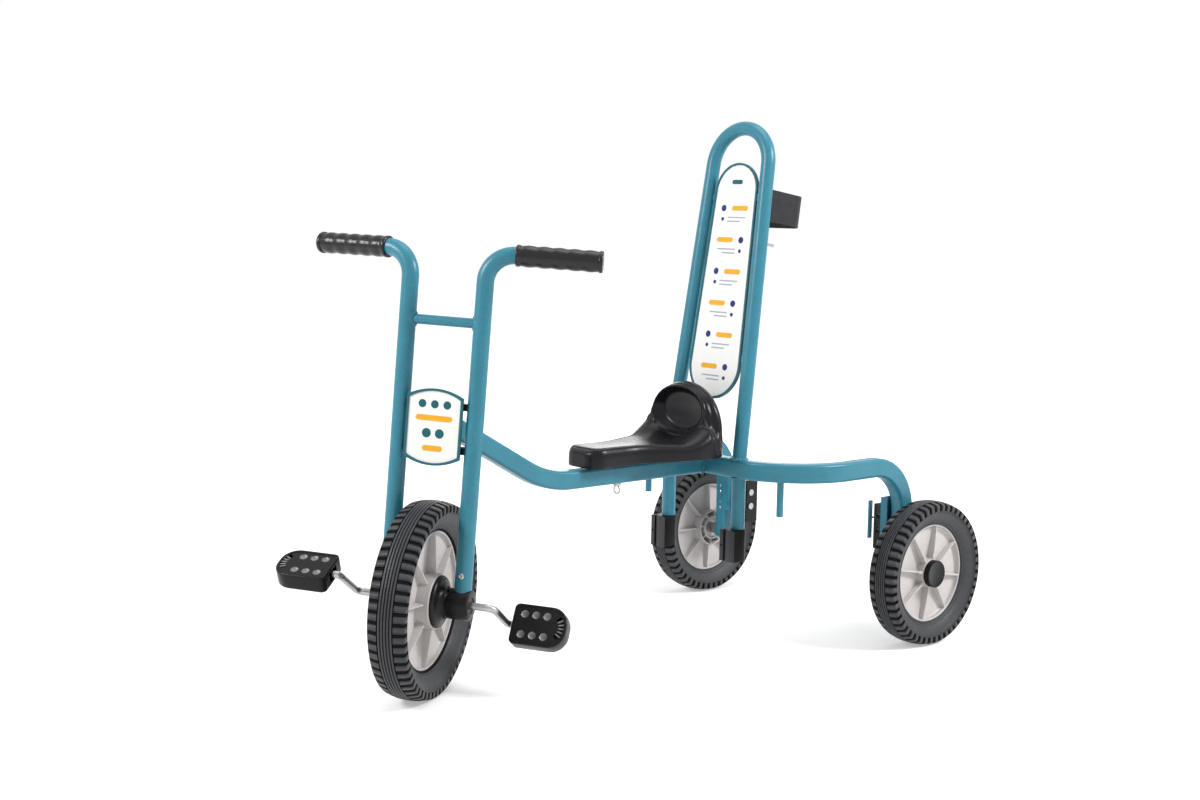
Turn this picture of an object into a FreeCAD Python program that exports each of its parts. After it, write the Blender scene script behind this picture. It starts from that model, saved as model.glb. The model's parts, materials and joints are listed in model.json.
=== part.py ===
import FreeCAD, Part
import math
import os
import Sketcher
from types import SimpleNamespace
from FreeCAD import Placement, Rotation, Vector

# Child's three-wheeler with a high hoop behind the saddle and pedals on the front wheel.
# Millimetres. +X is the rider's left, -Y is forward, +Z is up, and Z = 0 is the ground.
# The origin lies on the ground under the middle of the whole vehicle.

SIZES = {
    # Wheels
    "WheelBase": 924.0,
    "FrontAxleAhead": 430.17,
    "RearHalfTrack": 283.4,
    "FrontTyreRadius": 160.0,
    "FrontTyreWidth": 62.6,
    "FrontCrownDrop": 5.6,
    "FrontRimRadius": 112.3,
    "FrontRimHalfWidth": 10.5,
    "FrontHubHalfWidth": 13.5,
    "FrontHubRadius": 47.0,
    "RearTyreRadius": 132.3,
    "RearTyreWidth": 55.5,
    "RearCrownDrop": 4.6,
    "RearRimRadius": 90.0,
    "RearRimHalfWidth": 12.0,
    "RearHubHalfWidth": 15.0,
    "RearHubRadius": 22.0,
    "RimWebThickness": 7.0,
    "RimBandDepth": 7.0,
    "SpokeRootWidth": 12.0,
    "SpokeTipWidth": 6.0,
    "RearCapRadius": 25.0,
    "RearCapThickness": 11.5,
    "RearCapSkin": 3.0,
    # Rear axles
    "RearAxleRadius": 6.0,
    "AxleCollarRadius": 11.0,
    "AxleNutRadius": 10.0,
    "AxleNutLength": 7.0,
    "TurningGap": 0.3,
    "RunningFit": 0.05,
    # Front hub, cranks and pedals
    "AxleRadius": 6.0,
    "HubCollarRadius": 20.0,
    "HubCollarEnd": 37.7,
    "HubFlangeRadius": 40.3,
    "HubFlangeEnd": 16.5,
    "HubSleeveRadius": 24.5,
    "HubSleeveStart": 28.0,
    "HousingRadius": 24.5,
    "HousingInnerEnd": 38.0,
    "HousingOuterEnd": 88.0,
    "CrankBendStart": 100.0,
    "CrankBendEnd": 118.0,
    "CrankBendRadius": 11.0,
    "CrankRadius": 83.0,
    "PedalCentre": 173.4,
    "PedalLength": 92.0,
    "PedalWidth": 68.0,
    "PedalThickness": 28.0,
    "PedalInnerCorner": 9.0,
    "PedalOuterCorner": 28.0,
    "PedalHoleRadius": 5.0,
    "PedalHoleDepth": 8.0,
    "PedalHolePitch": 19.0,
    "PedalHoleRowGap": 34.0,
    "PedalHoleShift": 8.0,
    "PedalSlotRadius": 24.0,
    "PedalSlotWidth": 8.0,
    "SpindleEndCover": 14.0,
    # Fork and handlebar, measured from the front axle along the steering axis
    "ForkSpacing": 126.8,
    "ForkTubeRadius": 14.0,
    "HandleHeight": 556.5,
    "HandleBendRadius": 45.0,
    "GripEnd": 182.2,
    "GripLength": 136.7,
    "GripRadius": 17.5,
    "GripEndCap": 4.0,
    "CrossbarRadius": 8.0,
    "CrossbarHeight": 445.5,
    # Steering head
    "HeadHeight": 278.0,
    "HeadLength": 58.0,
    "HeadRadius": 12.5,
    "HeadPinRadius": 6.0,
    "HeadPinHeadRadius": 11.0,
    "HeadPinHeadLength": 6.0,
    "BridgeThickness": 11.0,
    "HeadClearance": 1.0,
    "BridgeBack": 14.0,
    "BadgeWidth": 95.0,
    "BadgeHeight": 122.0,
    "BadgeSideHeight": 97.5,
    "BadgeThickness": 3.0,
    "BadgeRimWidth": 4.0,
    "BadgeRimThickness": 4.5,
    # Main beam
    "MainTubeHeight": 32.0,
    "MainTubeWidth": 28.0,
    "MainBendRadius": 200.0,
    "MainBeamHeadRise": 14.0,
    # Rear frame
    "RearTubeHeight": 34.0,
    "RearTubeWidth": 28.0,
    "TubeCornerRadius": 6.0,
    "BeamUnderside": 309.5,
    "CrossAheadOfAxle": 297.0,
    "SideSpacing": 449.4,
    "PlanBendRadius": 130.0,
    "DropBendRadius": 90.0,
    "PegRadius": 6.0,
    "PegLength": 61.5,
    "DockHalfSpacing": 88.9,
    "DockTubeRadius": 12.5,
    "DockTubeCover": 4.0,
    "DockBlockWidth": 37.0,
    "DockBlockReach": 27.0,
    "DockBlockWall": 2.0,
    "DockBlockTop": 217.0,
    "DockBlockHeight": 57.0,
    "DockGrooveWidth": 3.0,
    "DockGrooveDepth": 1.6,
    # Brackets on the inner side of each drop leg
    "BracketTop": 262.0,
    "BracketBottom": 180.0,
    "BracketWall": 3.0,
    "BracketDepth": 14.7,
    "BracketWidth": 38.0,
    "BracketAheadOfAxle": 7.0,
    "BracketSlotRadius": 5.0,
    "BracketSlotDrop": 12.0,
    "StripInset": 47.7,
    "StripThickness": 6.0,
    "StripWidth": 31.0,
    "StripTop": 243.0,
    "StripBottom": 158.0,
    "StripBehindAxle": 11.5,
    "StrapInset": 45.7,
    "StrapThickness": 4.0,
    "StrapWidth": 8.0,
    "StrapTop": 251.0,
    "StrapBottom": 180.0,
    "StrapAheadOfAxle": 20.0,
    "StrapRodRadius": 1.6,
    "BracketPinRadius": 4.0,
    "BracketPinHeadRadius": 6.5,
    "BracketPinHeadLength": 2.5,
    "BracketPinLow": 190.0,
    "BracketPinHigh": 218.0,
    "BracketPinBehindAxle": 7.0,
    # Hoop and panel, heights measured along the leaning hoop from the top of the beam
    "HoopTubeRadius": 13.0,
    "HoopTopRadius": 68.0,
    "HoopHeight": 596.0,
    "PanelTop": 533.0,
    "PanelBottom": 101.0,
    "PanelTopRadius": 51.5,
    "PanelBottomRadius": 63.0,
    "PanelThickness": 3.0,
    "PanelRimWidth": 4.0,
    "PanelRimThickness": 6.0,
    "PanelLugThickness": 3.0,
    "PanelLugHeight": 12.0,
    "LowerLugHeight": 178.0,
    "UpperLugHeight": 470.0,
    "BandHeight": 57.0,
    "BandCentre": 459.0,
    "BandReach": 112.0,
    "BandThickness": 3.0,
    "BandCornerRadius": 24.0,
    "HoopPinRadius": 2.5,
    "HoopPinLength": 21.0,
    "HoopPinWeldGap": 0.3,
    "HoopPinHeight": 388.0,
    # Saddle, measured forward of the rear axle and up from the top of the main beam
    "SaddleNoseAhead": 602.0,
    "SaddleBackAhead": 314.0,
    "SaddleNoseHalfWidth": 43.0,
    "SaddleNoseCorner": 26.0,
    "SaddleNoseDrop": 9.0,
    "SaddleNoseRound": 20.0,
    "SaddleNoseLift": 9.0,
    "SaddleBackLift": 14.0,
    "SaddleRimHeight": 38.0,
    "SaddleRimRise": 12.0,
    "SaddleRiseFromNose": 130.0,
    "SaddleFlareFromNose": 75.0,
    "SaddleWideFromBack": 53.0,
    "SaddleBackHalfWidth": 92.0,
    "SaddleBackCorner": 50.0,
    "SaddleShoulder": 9.0,
    "SaddleShoulderGrowth": 6.0,
    "SaddleDishFromNose": 30.0,
    "SaddleDishDepth": 8.0,
    "SaddleArchFromBack": 55.0,
    "SaddleArchStep": 4.0,
    "SaddleArchHalfWidth": 66.0,
    "SaddleArchCentre": 80.0,
    "SaddleArchTop": 131.0,
    "SaddleArchFlank": 33.0,
    "SaddleCrestFromBack": 30.0,
    "SaddleCrestCentre": 55.0,
    "SaddleCrestTop": 137.0,
    "SaddleCrestFlank": 40.0,
    "SaddleCrestInset": 2.0,
    "SaddleBackCentre": 43.0,
    "SaddleBackTop": 85.0,
    "SaddleBackFlank": 32.0,
    "SaddleBowlFromBack": 73.0,
    "SaddleBowlHeight": 77.0,
    "SaddleBowlHalfWidth": 72.0,
    "SaddleBowlHalfHeight": 58.0,
    "SaddleBowlDepth": 38.0,
    "SaddleFootFromNose": 80.0,
    "SaddleFootLength": 130.0,
    "SaddleFootWidth": 28.0,
    "SeatPinAhead": 512.0,
    "SeatPinHeadRadius": 7.0,
    "SeatPinHeadLength": 5.0,
    "SeatRingRadius": 7.0,
    "SeatRingWireRadius": 1.5,
    # Overrun of a cutting tool past the face that it cuts
    "CutOverrun": 2.0,
}

ANGLES = {
    "ParkedSteer": 31.5,
    "SteeringRake": 4.57,
    "MainBeamSlope": 29.2,
    "HandleSweep": 13.6,
    "CrankPhase": 206.0,
    "LeftPedalPhase": 27.0,
    "RightPedalPhase": 62.0,
    "PedalSlotSweep": 45.0,
    "HoopLean": 8.3,
    "PegSwing": 55.5,
}

COUNTS = {
    "SpokeCount": 8,
    "PedalHoleColumns": 3,
    "DockGrooveCount": 4,
    "SaddleSeatSections": 13,
    "SaddleArchSections": 3,
    "SaddleBackSections": 6,
    "SaddleProfileSteps": 4,
}

doc = FreeCAD.newDocument("three_wheeler")
sheet = doc.addObject("Spreadsheet::Sheet", "Sizes")
SIDES = {"left": 1, "right": -1}
X_AXIS = Vector(1, 0, 0)
Y_AXIS = Vector(0, 1, 0)
Z_AXIS = Vector(0, 0, 1)
PARTS = []


def fill_sheet():
    """Writes each driving value into its own named cell, and reads the values back."""
    row = 1
    for table in (SIZES, ANGLES, COUNTS):
        for alias, value in table.items():
            sheet.set("A%d" % row, alias)
            sheet.set("B%d" % row, repr(value))
            sheet.setAlias("B%d" % row, alias)
            row += 1
    doc.recompute()
    names = [*SIZES, *ANGLES, *COUNTS]
    return SimpleNamespace(**{alias: float(sheet.get(alias)) for alias in names})


v = fill_sheet()

# Places worked out from the driving sizes
FRONT_Y = -v.FrontAxleAhead
REAR_Y = FRONT_Y + v.WheelBase
CROSS_Y = REAR_Y - v.CrossAheadOfAxle
BEAM_TOP = v.BeamUnderside + v.RearTubeHeight
MAIN_TOP = v.BeamUnderside + v.MainTubeHeight
SIDE_X = v.SideSpacing / 2
LEG_INNER = SIDE_X - v.RearTubeWidth / 2
LEG_OUTER = SIDE_X + v.RearTubeWidth / 2
BRIDGE_FRONT = v.HeadRadius + v.HeadClearance


def shift(x, y, z):
    return Placement(Vector(x, y, z), Rotation())


def turn(axis, degrees):
    return Placement(Vector(), Rotation(axis, degrees))


def finish(thing, label, placement=None):
    """Names a finished sub-part, places it and lists it for the check and the export."""
    thing.Label = label
    if placement is not None:
        thing.Placement = placement
    PARTS.append(thing)
    return thing


def feature(label, shape, placement=None):
    """A sub-part whose shape is set directly."""
    thing = doc.addObject("Part::Feature", label)
    thing.Shape = shape
    return finish(thing, label, placement or Placement())


def crown_radius(width, drop):
    """Radius of the arc that falls by drop from a tread's middle to its edge."""
    half = width / 2
    return (half * half + drop * drop) / (2 * drop)


def wheel_centre_height():
    """Height at which the leaning, crowned front tyre just touches the ground."""
    lean = math.sin(math.radians(v.SteeringRake)) * math.sin(math.radians(v.ParkedSteer))
    crown = crown_radius(v.FrontTyreWidth, v.FrontCrownDrop)
    return (v.FrontTyreRadius - crown) * math.sqrt(1 - lean * lean) + crown


# The steering's frame: origin at the front wheel's centre, Z up the steering axis, X along the axle
STEERING = (
    shift(0, FRONT_Y, wheel_centre_height())
    * turn(X_AXIS, -v.SteeringRake)
    * turn(Z_AXIS, v.ParkedSteer)
)

# The same with Z along the rider's left crank, and the hoop's frame, whose Z leans back with it
CRANKS = STEERING * turn(X_AXIS, 90.0 - v.CrankPhase)
HOOP = shift(0, CROSS_Y, BEAM_TOP) * turn(X_AXIS, -v.HoopLean)


# Sketches

def new_sketch(body, name, role, offset=0.0):
    plane = next(plane for plane in body.Origin.OriginFeatures if plane.Role == role)
    sketch = body.newObject("Sketcher::SketchObject", name)
    sketch.AttachmentSupport = [(plane, "")]
    sketch.MapMode = "FlatFace"
    sketch.AttachmentOffset = shift(0, 0, offset)
    return sketch


def line(start, end):
    return Part.LineSegment(Vector(*start), Vector(*end))


def closed_lines(points):
    return [line(start, end) for start, end in zip(points, points[1:] + points[:1])]


def arc(centre, radius, start, end):
    """An arc in the sketch, anticlockwise from start to end, both in degrees."""
    circle = Part.Circle(Vector(*centre), Z_AXIS, radius)
    return Part.ArcOfCircle(circle, math.radians(start), math.radians(end))


def round_section(body, name, formula, role="XY_Plane", offset=0.0, centre=(0, 0, 0)):
    """One circle whose radius follows a formula of the named sizes."""
    sketch = new_sketch(body, name, role, offset)
    sketch.addGeometry(Part.Circle(Vector(*centre), Z_AXIS, v.AxleRadius), False)
    sketch.addConstraint(Sketcher.Constraint("Radius", 0, v.AxleRadius))
    sketch.renameConstraint(0, "radius")
    sketch.setExpression("Constraints.radius", formula)
    return sketch


def pipe_body(label, path, section):
    """A tube or rod along a path in the XZ plane; section makes its profile in the body."""
    body = doc.addObject("PartDesign::Body", label)
    route = new_sketch(body, label + "_path", "XZ_Plane")
    route.addGeometry(path, False)
    pipe = body.newObject("PartDesign::AdditivePipe", label + "_pipe")
    pipe.Profile = section(body)
    pipe.Spine = route
    body.Tip = pipe
    return body


def revolved_body(label, outline):
    """A closed outline in the XZ plane, turned about the X axis."""
    body = doc.addObject("PartDesign::Body", label)
    sketch = new_sketch(body, label + "_section", "XZ_Plane")
    sketch.addGeometry(outline, False)
    ring = body.newObject("PartDesign::Revolution", label + "_turned")
    ring.Profile = sketch
    ring.ReferenceAxis = (sketch, ["H_Axis"])
    ring.Angle = 360
    body.Tip = ring
    return body, sketch


# Plain solids

def cylinder(radius, start, end, axis=Z_AXIS, centre=Vector()):
    """Round bar along an axis through a centre, from one distance to another."""
    low = min(start, end)
    return Part.makeCylinder(radius, abs(end - start), centre + axis * low, axis)


def box(one, other):
    """Block between two opposite corners."""
    low = Vector(*[min(pair) for pair in zip(one, other)])
    size = Vector(*[abs(a - b) for a, b in zip(one, other)])
    return Part.makeBox(size.x, size.y, size.z, low)


def rounded_rectangle(width, height, radius):
    """Face centred on the origin, width along X and height along Y."""
    x = width / 2 - radius
    y = height / 2 - radius
    edges = []
    for centre, start in (((x, y, 0), 0), ((-x, y, 0), 90), ((-x, -y, 0), 180), ((x, -y, 0), 270)):
        edges.append(arc(centre, radius, start, start + 90))
    outline = []
    for corner, following in zip(edges, edges[1:] + edges[:1]):
        outline.append(corner.toShape())
        outline.append(Part.LineSegment(corner.EndPoint, following.StartPoint).toShape())
    return Part.Face(Part.Wire(outline))


class TubeWalker:
    """Pushes a section along straight runs and round bends, and joins what it sweeps."""

    def __init__(self, section, place):
        self.section = section
        self.place = place
        self.pieces = []

    def face_here(self):
        face = self.section.copy()
        face.Placement = self.place
        return face

    def run(self, length):
        direction = self.place.Rotation.multVec(Z_AXIS)
        self.pieces.append(self.face_here().extrude(direction * length))
        self.place = self.place * shift(0, 0, length)

    def bend(self, radius, degrees, towards):
        """Turns the run towards a direction given in the section's own axes."""
        axis = Z_AXIS.cross(towards)
        centre = towards * radius
        world_centre = self.place.multVec(centre)
        world_axis = self.place.Rotation.multVec(axis)
        self.pieces.append(self.face_here().revolve(world_centre, world_axis, degrees))
        away = Placement(-centre, Rotation())
        self.place = self.place * Placement(centre, Rotation()) * turn(axis, degrees) * away

    def solid(self):
        return self.pieces[0].multiFuse(self.pieces[1:]).removeSplitter()


# Wheels

def tyre(label, radius, width, drop, rim_radius, rim_half, placement):
    """Crowned tread, straight side walls that slope in to the bead."""
    half = width / 2
    crown = crown_radius(width, drop)
    swing = math.degrees(math.asin(half / crown))
    edge = radius - drop
    outline = [
        line((rim_half, rim_radius, 0), (half, edge, 0)),
        arc((0, radius - crown, 0), crown, 90 - swing, 90 + swing),
        line((-half, edge, 0), (-rim_half, rim_radius, 0)),
        line((-rim_half, rim_radius, 0), (rim_half, rim_radius, 0)),
    ]
    body = revolved_body(label, outline)[0]
    finish(body, label, placement)


def rim(label, radius, half, hub_radius, bore, hub_half, placement):
    """Moulded disc: outer band, thin web, hub, and tapered ribs on both faces."""
    web = v.RimWebThickness / 2
    band = radius - v.RimBandDepth
    outline = [
        (hub_half, bore, 0),
        (hub_half, hub_radius, 0),
        (web, hub_radius, 0),
        (web, band, 0),
        (half, band, 0),
        (half, radius, 0),
        (-half, radius, 0),
        (-half, band, 0),
        (-web, band, 0),
        (-web, hub_radius, 0),
        (-hub_half, hub_radius, 0),
        (-hub_half, bore, 0),
    ]
    body, section = revolved_body(label, closed_lines(outline))
    doc.recompute()
    spoke_plan = new_sketch(body, label + "_rib_plan", "YZ_Plane")
    root = (hub_radius + bore) / 2
    tip = band + v.RimBandDepth / 2
    corners = [
        (-v.SpokeRootWidth / 2, root, 0),
        (v.SpokeRootWidth / 2, root, 0),
        (v.SpokeTipWidth / 2, tip, 0),
        (-v.SpokeTipWidth / 2, tip, 0),
    ]
    spoke_plan.addGeometry(closed_lines(corners), False)
    spoke = body.newObject("PartDesign::Pad", label + "_rib")
    spoke.Profile = spoke_plan
    spoke.SideType = "Symmetric"
    spoke.Length = half + web
    body.Tip = spoke
    doc.recompute()
    spokes = body.newObject("PartDesign::PolarPattern", label + "_ribs")
    spokes.Originals = [spoke]
    spokes.Axis = (section, ["H_Axis"])
    spokes.Angle = 360
    spokes.setExpression("Occurrences", "Sizes.SpokeCount")
    body.Tip = spokes
    finish(body, label, placement)


def front_wheel():
    tyre(
        "front_tyre", v.FrontTyreRadius, v.FrontTyreWidth, v.FrontCrownDrop,
        v.FrontRimRadius, v.FrontRimHalfWidth, STEERING,
    )
    rim(
        "front_rim", v.FrontRimRadius, v.FrontRimHalfWidth, v.FrontHubRadius,
        v.HubCollarRadius, v.FrontHubHalfWidth, STEERING,
    )
    side = [
        (v.FrontHubHalfWidth, v.HubCollarRadius, 0),
        (v.FrontHubHalfWidth, v.HubFlangeRadius, 0),
        (v.HubFlangeEnd, v.HubFlangeRadius, 0),
        (v.HubSleeveStart, v.HubSleeveRadius, 0),
        (v.HubCollarEnd, v.HubSleeveRadius, 0),
        (v.HubCollarEnd, v.AxleRadius, 0),
    ]
    outline = side + [(-along, radius, 0) for along, radius, _ in reversed(side)]
    hub = revolved_body("front_hub", closed_lines(outline))[0]
    finish(hub, "front_hub", STEERING)


def crank_axle():
    """One bent rod: axle through the hub, two opposed cranks and their pedal spindles."""
    tip = v.PedalCentre + v.PedalLength / 2 - v.SpindleEndCover
    rise = v.CrankRadius
    start = v.CrankBendStart
    end = v.CrankBendEnd
    radius = v.CrankBendRadius
    slope = math.atan2(rise, end - start)
    inset = radius * math.tan(slope / 2)
    along = inset * math.cos(slope)
    up = inset * math.sin(slope)
    sweep = math.degrees(slope)
    path = [
        line((-tip, -rise, 0), (-end - inset, -rise, 0)),
        arc((-end - inset, radius - rise, 0), radius, 270, 270 + sweep),
        line((-end + along, up - rise, 0), (-start - along, -up, 0)),
        arc((-start + inset, -radius, 0), radius, 90, 90 + sweep),
        line((-start + inset, 0, 0), (start - inset, 0, 0)),
        arc((start - inset, radius, 0), radius, 270, 270 + sweep),
        line((start + along, up, 0), (end - along, rise - up, 0)),
        arc((end + inset, rise - radius, 0), radius, 90, 90 + sweep),
        line((end + inset, rise, 0), (tip, rise, 0)),
    ]

    def section(body):
        return round_section(body, "crank_section", "Sizes.AxleRadius", "YZ_Plane", -tip, (0, -rise, 0))

    finish(pipe_body("crank_axle", path, section), "crank_axle", CRANKS)


def pedal_plan():
    """Square inner end with small corners, outer end with large ones."""
    half = v.PedalWidth / 2
    inner = -v.PedalLength / 2
    outer = v.PedalLength / 2
    small = v.PedalInnerCorner
    big = v.PedalOuterCorner
    return [
        line((inner + small, -half, 0), (outer - big, -half, 0)),
        arc((outer - big, big - half, 0), big, 270, 360),
        line((outer, big - half, 0), (outer, half - big, 0)),
        arc((outer - big, half - big, 0), big, 0, 90),
        line((outer - big, half, 0), (inner + small, half, 0)),
        arc((inner + small, half - small, 0), small, 90, 180),
        line((inner, half - small, 0), (inner, small - half, 0)),
        arc((inner + small, small - half, 0), small, 180, 270),
    ]


def pedal_slot():
    """Curved slot near the pedal's outer end."""
    inner = v.PedalSlotRadius - v.PedalSlotWidth / 2
    outer = v.PedalSlotRadius + v.PedalSlotWidth / 2
    base = Vector(v.PedalLength / 2 - v.PedalOuterCorner - v.PedalSlotWidth / 2, 0, 0)
    sweep = v.PedalSlotSweep
    high = Vector(math.cos(math.radians(sweep)), math.sin(math.radians(sweep)), 0)
    low = Vector(high.x, -high.y, 0)
    return [
        arc(base, outer, -sweep, sweep),
        line(base + high * outer, base + high * inner),
        arc(base, inner, -sweep, sweep),
        line(base + low * inner, base + low * outer),
    ]


def pedal_recess(body, label, face):
    """Two rows of round recesses and the curved slot, in one face of the pedal."""
    level = face * (v.PedalThickness / 2 - v.PedalHoleDepth)
    plan = new_sketch(body, label + "_plan", "XY_Plane", level)
    columns = int(v.PedalHoleColumns)
    for column in range(columns):
        x = (column - (columns - 1) / 2) * v.PedalHolePitch - v.PedalHoleShift
        for row in (-1, 1):
            place = Vector(x, row * v.PedalHoleRowGap / 2, 0)
            plan.addGeometry(Part.Circle(place, Z_AXIS, v.PedalHoleRadius), False)
    plan.addGeometry(pedal_slot(), False)
    recess = body.newObject("PartDesign::Pocket", label)
    recess.Profile = plan
    recess.Reversed = face > 0
    recess.Length = v.PedalHoleDepth + v.CutOverrun
    body.Tip = recess
    doc.recompute()


def pedal(name, side, phase):
    """A moulded pedal that turns on its spindle."""
    label = "pedal_" + name
    body = doc.addObject("PartDesign::Body", label)
    plan = new_sketch(body, label + "_plan", "XY_Plane")
    plan.addGeometry(pedal_plan(), False)
    block = body.newObject("PartDesign::Pad", label + "_block")
    block.Profile = plan
    block.SideType = "Symmetric"
    block.setExpression("Length", "Sizes.PedalThickness")
    body.Tip = block
    doc.recompute()
    pedal_recess(body, label + "_top_recess", 1)
    pedal_recess(body, label + "_bottom_recess", -1)
    bore_plan = round_section(
        body, label + "_bore_plan", "Sizes.AxleRadius + Sizes.RunningFit", "YZ_Plane", -v.PedalLength / 2
    )
    bore = body.newObject("PartDesign::Pocket", label + "_bore")
    bore.Profile = bore_plan
    bore.Reversed = True
    bore.Length = v.PedalLength - v.SpindleEndCover + v.TurningGap
    body.Tip = bore
    half_turn = turn(Z_AXIS, 0 if side > 0 else 180)
    spindle = CRANKS * shift(side * v.PedalCentre, 0, side * v.CrankRadius)
    finish(body, label, spindle * turn(X_AXIS, v.CrankPhase - phase) * half_turn)


def rear_wheel(name, side):
    place = shift(side * v.RearHalfTrack, REAR_Y, v.RearTyreRadius) * turn(Z_AXIS, 0 if side > 0 else 180)
    hub_half = v.RearHubHalfWidth
    tyre(
        "rear_tyre_" + name, v.RearTyreRadius, v.RearTyreWidth, v.RearCrownDrop,
        v.RearRimRadius, v.RearRimHalfWidth, place,
    )
    rim(
        "rear_rim_" + name, v.RearRimRadius, v.RearRimHalfWidth, v.RearHubRadius,
        v.RearAxleRadius + v.RunningFit, hub_half, place,
    )
    hollow = v.AxleNutRadius + v.RearCapSkin
    face = hub_half + v.RearCapThickness
    cap_outline = [
        (hub_half, hollow, 0),
        (hub_half, v.RearCapRadius, 0),
        (face, v.RearCapRadius, 0),
        (face, 0, 0),
        (face - v.RearCapSkin, 0, 0),
        (face - v.RearCapSkin, hollow, 0),
    ]
    cap = revolved_body("rear_cap_" + name, closed_lines(cap_outline))[0]
    finish(cap, "rear_cap_" + name, place)
    # The stub axle has a collar up to the hub, runs through it and ends in a nut under the cap
    leg = LEG_OUTER - v.RearHalfTrack
    collar_end = -hub_half - v.TurningGap
    nut_start = hub_half + v.TurningGap
    nut_end = nut_start + v.AxleNutLength
    axle_outline = [
        (leg, 0, 0),
        (leg, v.AxleCollarRadius, 0),
        (collar_end, v.AxleCollarRadius, 0),
        (collar_end, v.RearAxleRadius, 0),
        (nut_start, v.RearAxleRadius, 0),
        (nut_start, v.AxleNutRadius, 0),
        (nut_end, v.AxleNutRadius, 0),
        (nut_end, 0, 0),
    ]
    axle = revolved_body("rear_axle_" + name, closed_lines(axle_outline))[0]
    finish(axle, "rear_axle_" + name, place)


# Steering

def handle_turn(side):
    """The handlebar end's direction: outwards and swept back."""
    return turn(Z_AXIS, v.HandleSweep if side > 0 else 180 - v.HandleSweep)


def fork_tube(name, side):
    """One fork leg, notched round the axle housing, that bends outwards into its handlebar end."""
    radius = v.HandleBendRadius
    foot = v.HousingRadius / 2
    tip = v.GripEnd - v.GripEndCap
    path = [
        line((0, foot, 0), (0, v.HandleHeight - radius, 0)),
        arc((radius, v.HandleHeight - radius, 0), radius, 90, 180),
        line((radius, v.HandleHeight, 0), (tip, v.HandleHeight, 0)),
    ]
    label = "fork_tube_" + name

    def section(body):
        return round_section(body, label + "_section", "Sizes.ForkTubeRadius", "XY_Plane", foot)

    tube = pipe_body(label + "_rod", path, section)
    tube.Placement = STEERING * shift(side * v.ForkSpacing / 2, 0, 0) * handle_turn(side)
    barrel = doc.addObject("Part::Cylinder", label + "_notch")
    barrel.setExpression("Radius", "Sizes.HousingRadius")
    barrel.setExpression("Height", "2 * Sizes.HousingOuterEnd")
    barrel.Placement = STEERING * shift(-v.HousingOuterEnd, 0, 0) * turn(Y_AXIS, 90)
    notched = doc.addObject("Part::Cut", label)
    notched.Base = tube
    notched.Tool = barrel
    finish(notched, label)


def grip(name, side):
    """Rubber sleeve over the handlebar end, closed by its end."""
    start = v.GripEnd - v.GripLength
    outline = [
        (start, v.ForkTubeRadius, 0),
        (start, v.GripRadius, 0),
        (v.GripEnd, v.GripRadius, 0),
        (v.GripEnd, 0, 0),
        (v.GripEnd - v.GripEndCap, 0, 0),
        (v.GripEnd - v.GripEndCap, v.ForkTubeRadius, 0),
    ]
    sleeve = revolved_body("grip_" + name, closed_lines(outline))[0]
    place = STEERING * shift(side * v.ForkSpacing / 2, 0, v.HandleHeight) * handle_turn(side)
    finish(sleeve, "grip_" + name, place)


def axle_housing(name, side):
    """Bearing housing under the fork leg, bored for the axle."""
    outline = [
        (v.HousingInnerEnd, v.AxleRadius + v.RunningFit, 0),
        (v.HousingOuterEnd, v.AxleRadius + v.RunningFit, 0),
        (v.HousingOuterEnd, v.HousingRadius, 0),
        (v.HousingInnerEnd, v.HousingRadius, 0),
    ]
    housing = revolved_body("axle_housing_" + name, closed_lines(outline))[0]
    finish(housing, "axle_housing_" + name, STEERING * turn(Z_AXIS, 0 if side > 0 else 180))


def between_legs(shape):
    """Cuts a cross piece to fit against both fork legs."""
    legs = [
        cylinder(v.ForkTubeRadius, 0, v.HandleHeight, Z_AXIS, Vector(side * v.ForkSpacing / 2, 0, 0))
        for side in SIDES.values()
    ]
    return max(shape.cut(legs).Solids, key=lambda solid: solid.Volume)


def fork_cross_pieces():
    half = v.ForkSpacing / 2
    bar = cylinder(v.CrossbarRadius, -half, half, X_AXIS, Vector(0, 0, v.CrossbarHeight))
    feature("fork_crossbar", between_legs(bar), STEERING)
    head_half = v.HeadLength / 2 + v.TurningGap
    above = v.HeadHeight + head_half
    below = v.HeadHeight - head_half - v.BridgeThickness
    for label, level in (("bridge_upper", above), ("bridge_lower", below)):
        plate = box((-half, -BRIDGE_FRONT, level), (half, v.BridgeBack, level + v.BridgeThickness))
        hole = cylinder(v.HeadPinRadius, level, level + v.BridgeThickness)
        feature(label, between_legs(plate).cut(hole), STEERING)
    low = below - v.HeadPinHeadLength
    high = above + v.BridgeThickness
    outline = [
        (low, 0, 0),
        (low, v.HeadPinHeadRadius, 0),
        (below, v.HeadPinHeadRadius, 0),
        (below, v.HeadPinRadius, 0),
        (high, v.HeadPinRadius, 0),
        (high, v.HeadPinHeadRadius, 0),
        (high + v.HeadPinHeadLength, v.HeadPinHeadRadius, 0),
        (high + v.HeadPinHeadLength, 0, 0),
    ]
    pin = revolved_body("head_pin", closed_lines(outline))[0]
    finish(pin, "head_pin", STEERING * turn(Y_AXIS, -90))


def badge_outline(inset):
    """Straight sides and bowed top and bottom, in the plate's own plane."""
    half = v.BadgeWidth / 2 - inset
    corner = v.BadgeSideHeight / 2 - inset
    apex = v.BadgeHeight / 2 - inset
    rise = apex - corner
    bow = (half * half + rise * rise) / (2 * rise)
    swing = math.degrees(math.asin(half / bow))
    return [
        line((half, -corner, 0), (half, corner, 0)),
        arc((0, apex - bow, 0), bow, 90 - swing, 90 + swing),
        line((-half, corner, 0), (-half, -corner, 0)),
        arc((0, bow - apex, 0), bow, 270 - swing, 270 + swing),
    ]


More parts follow.
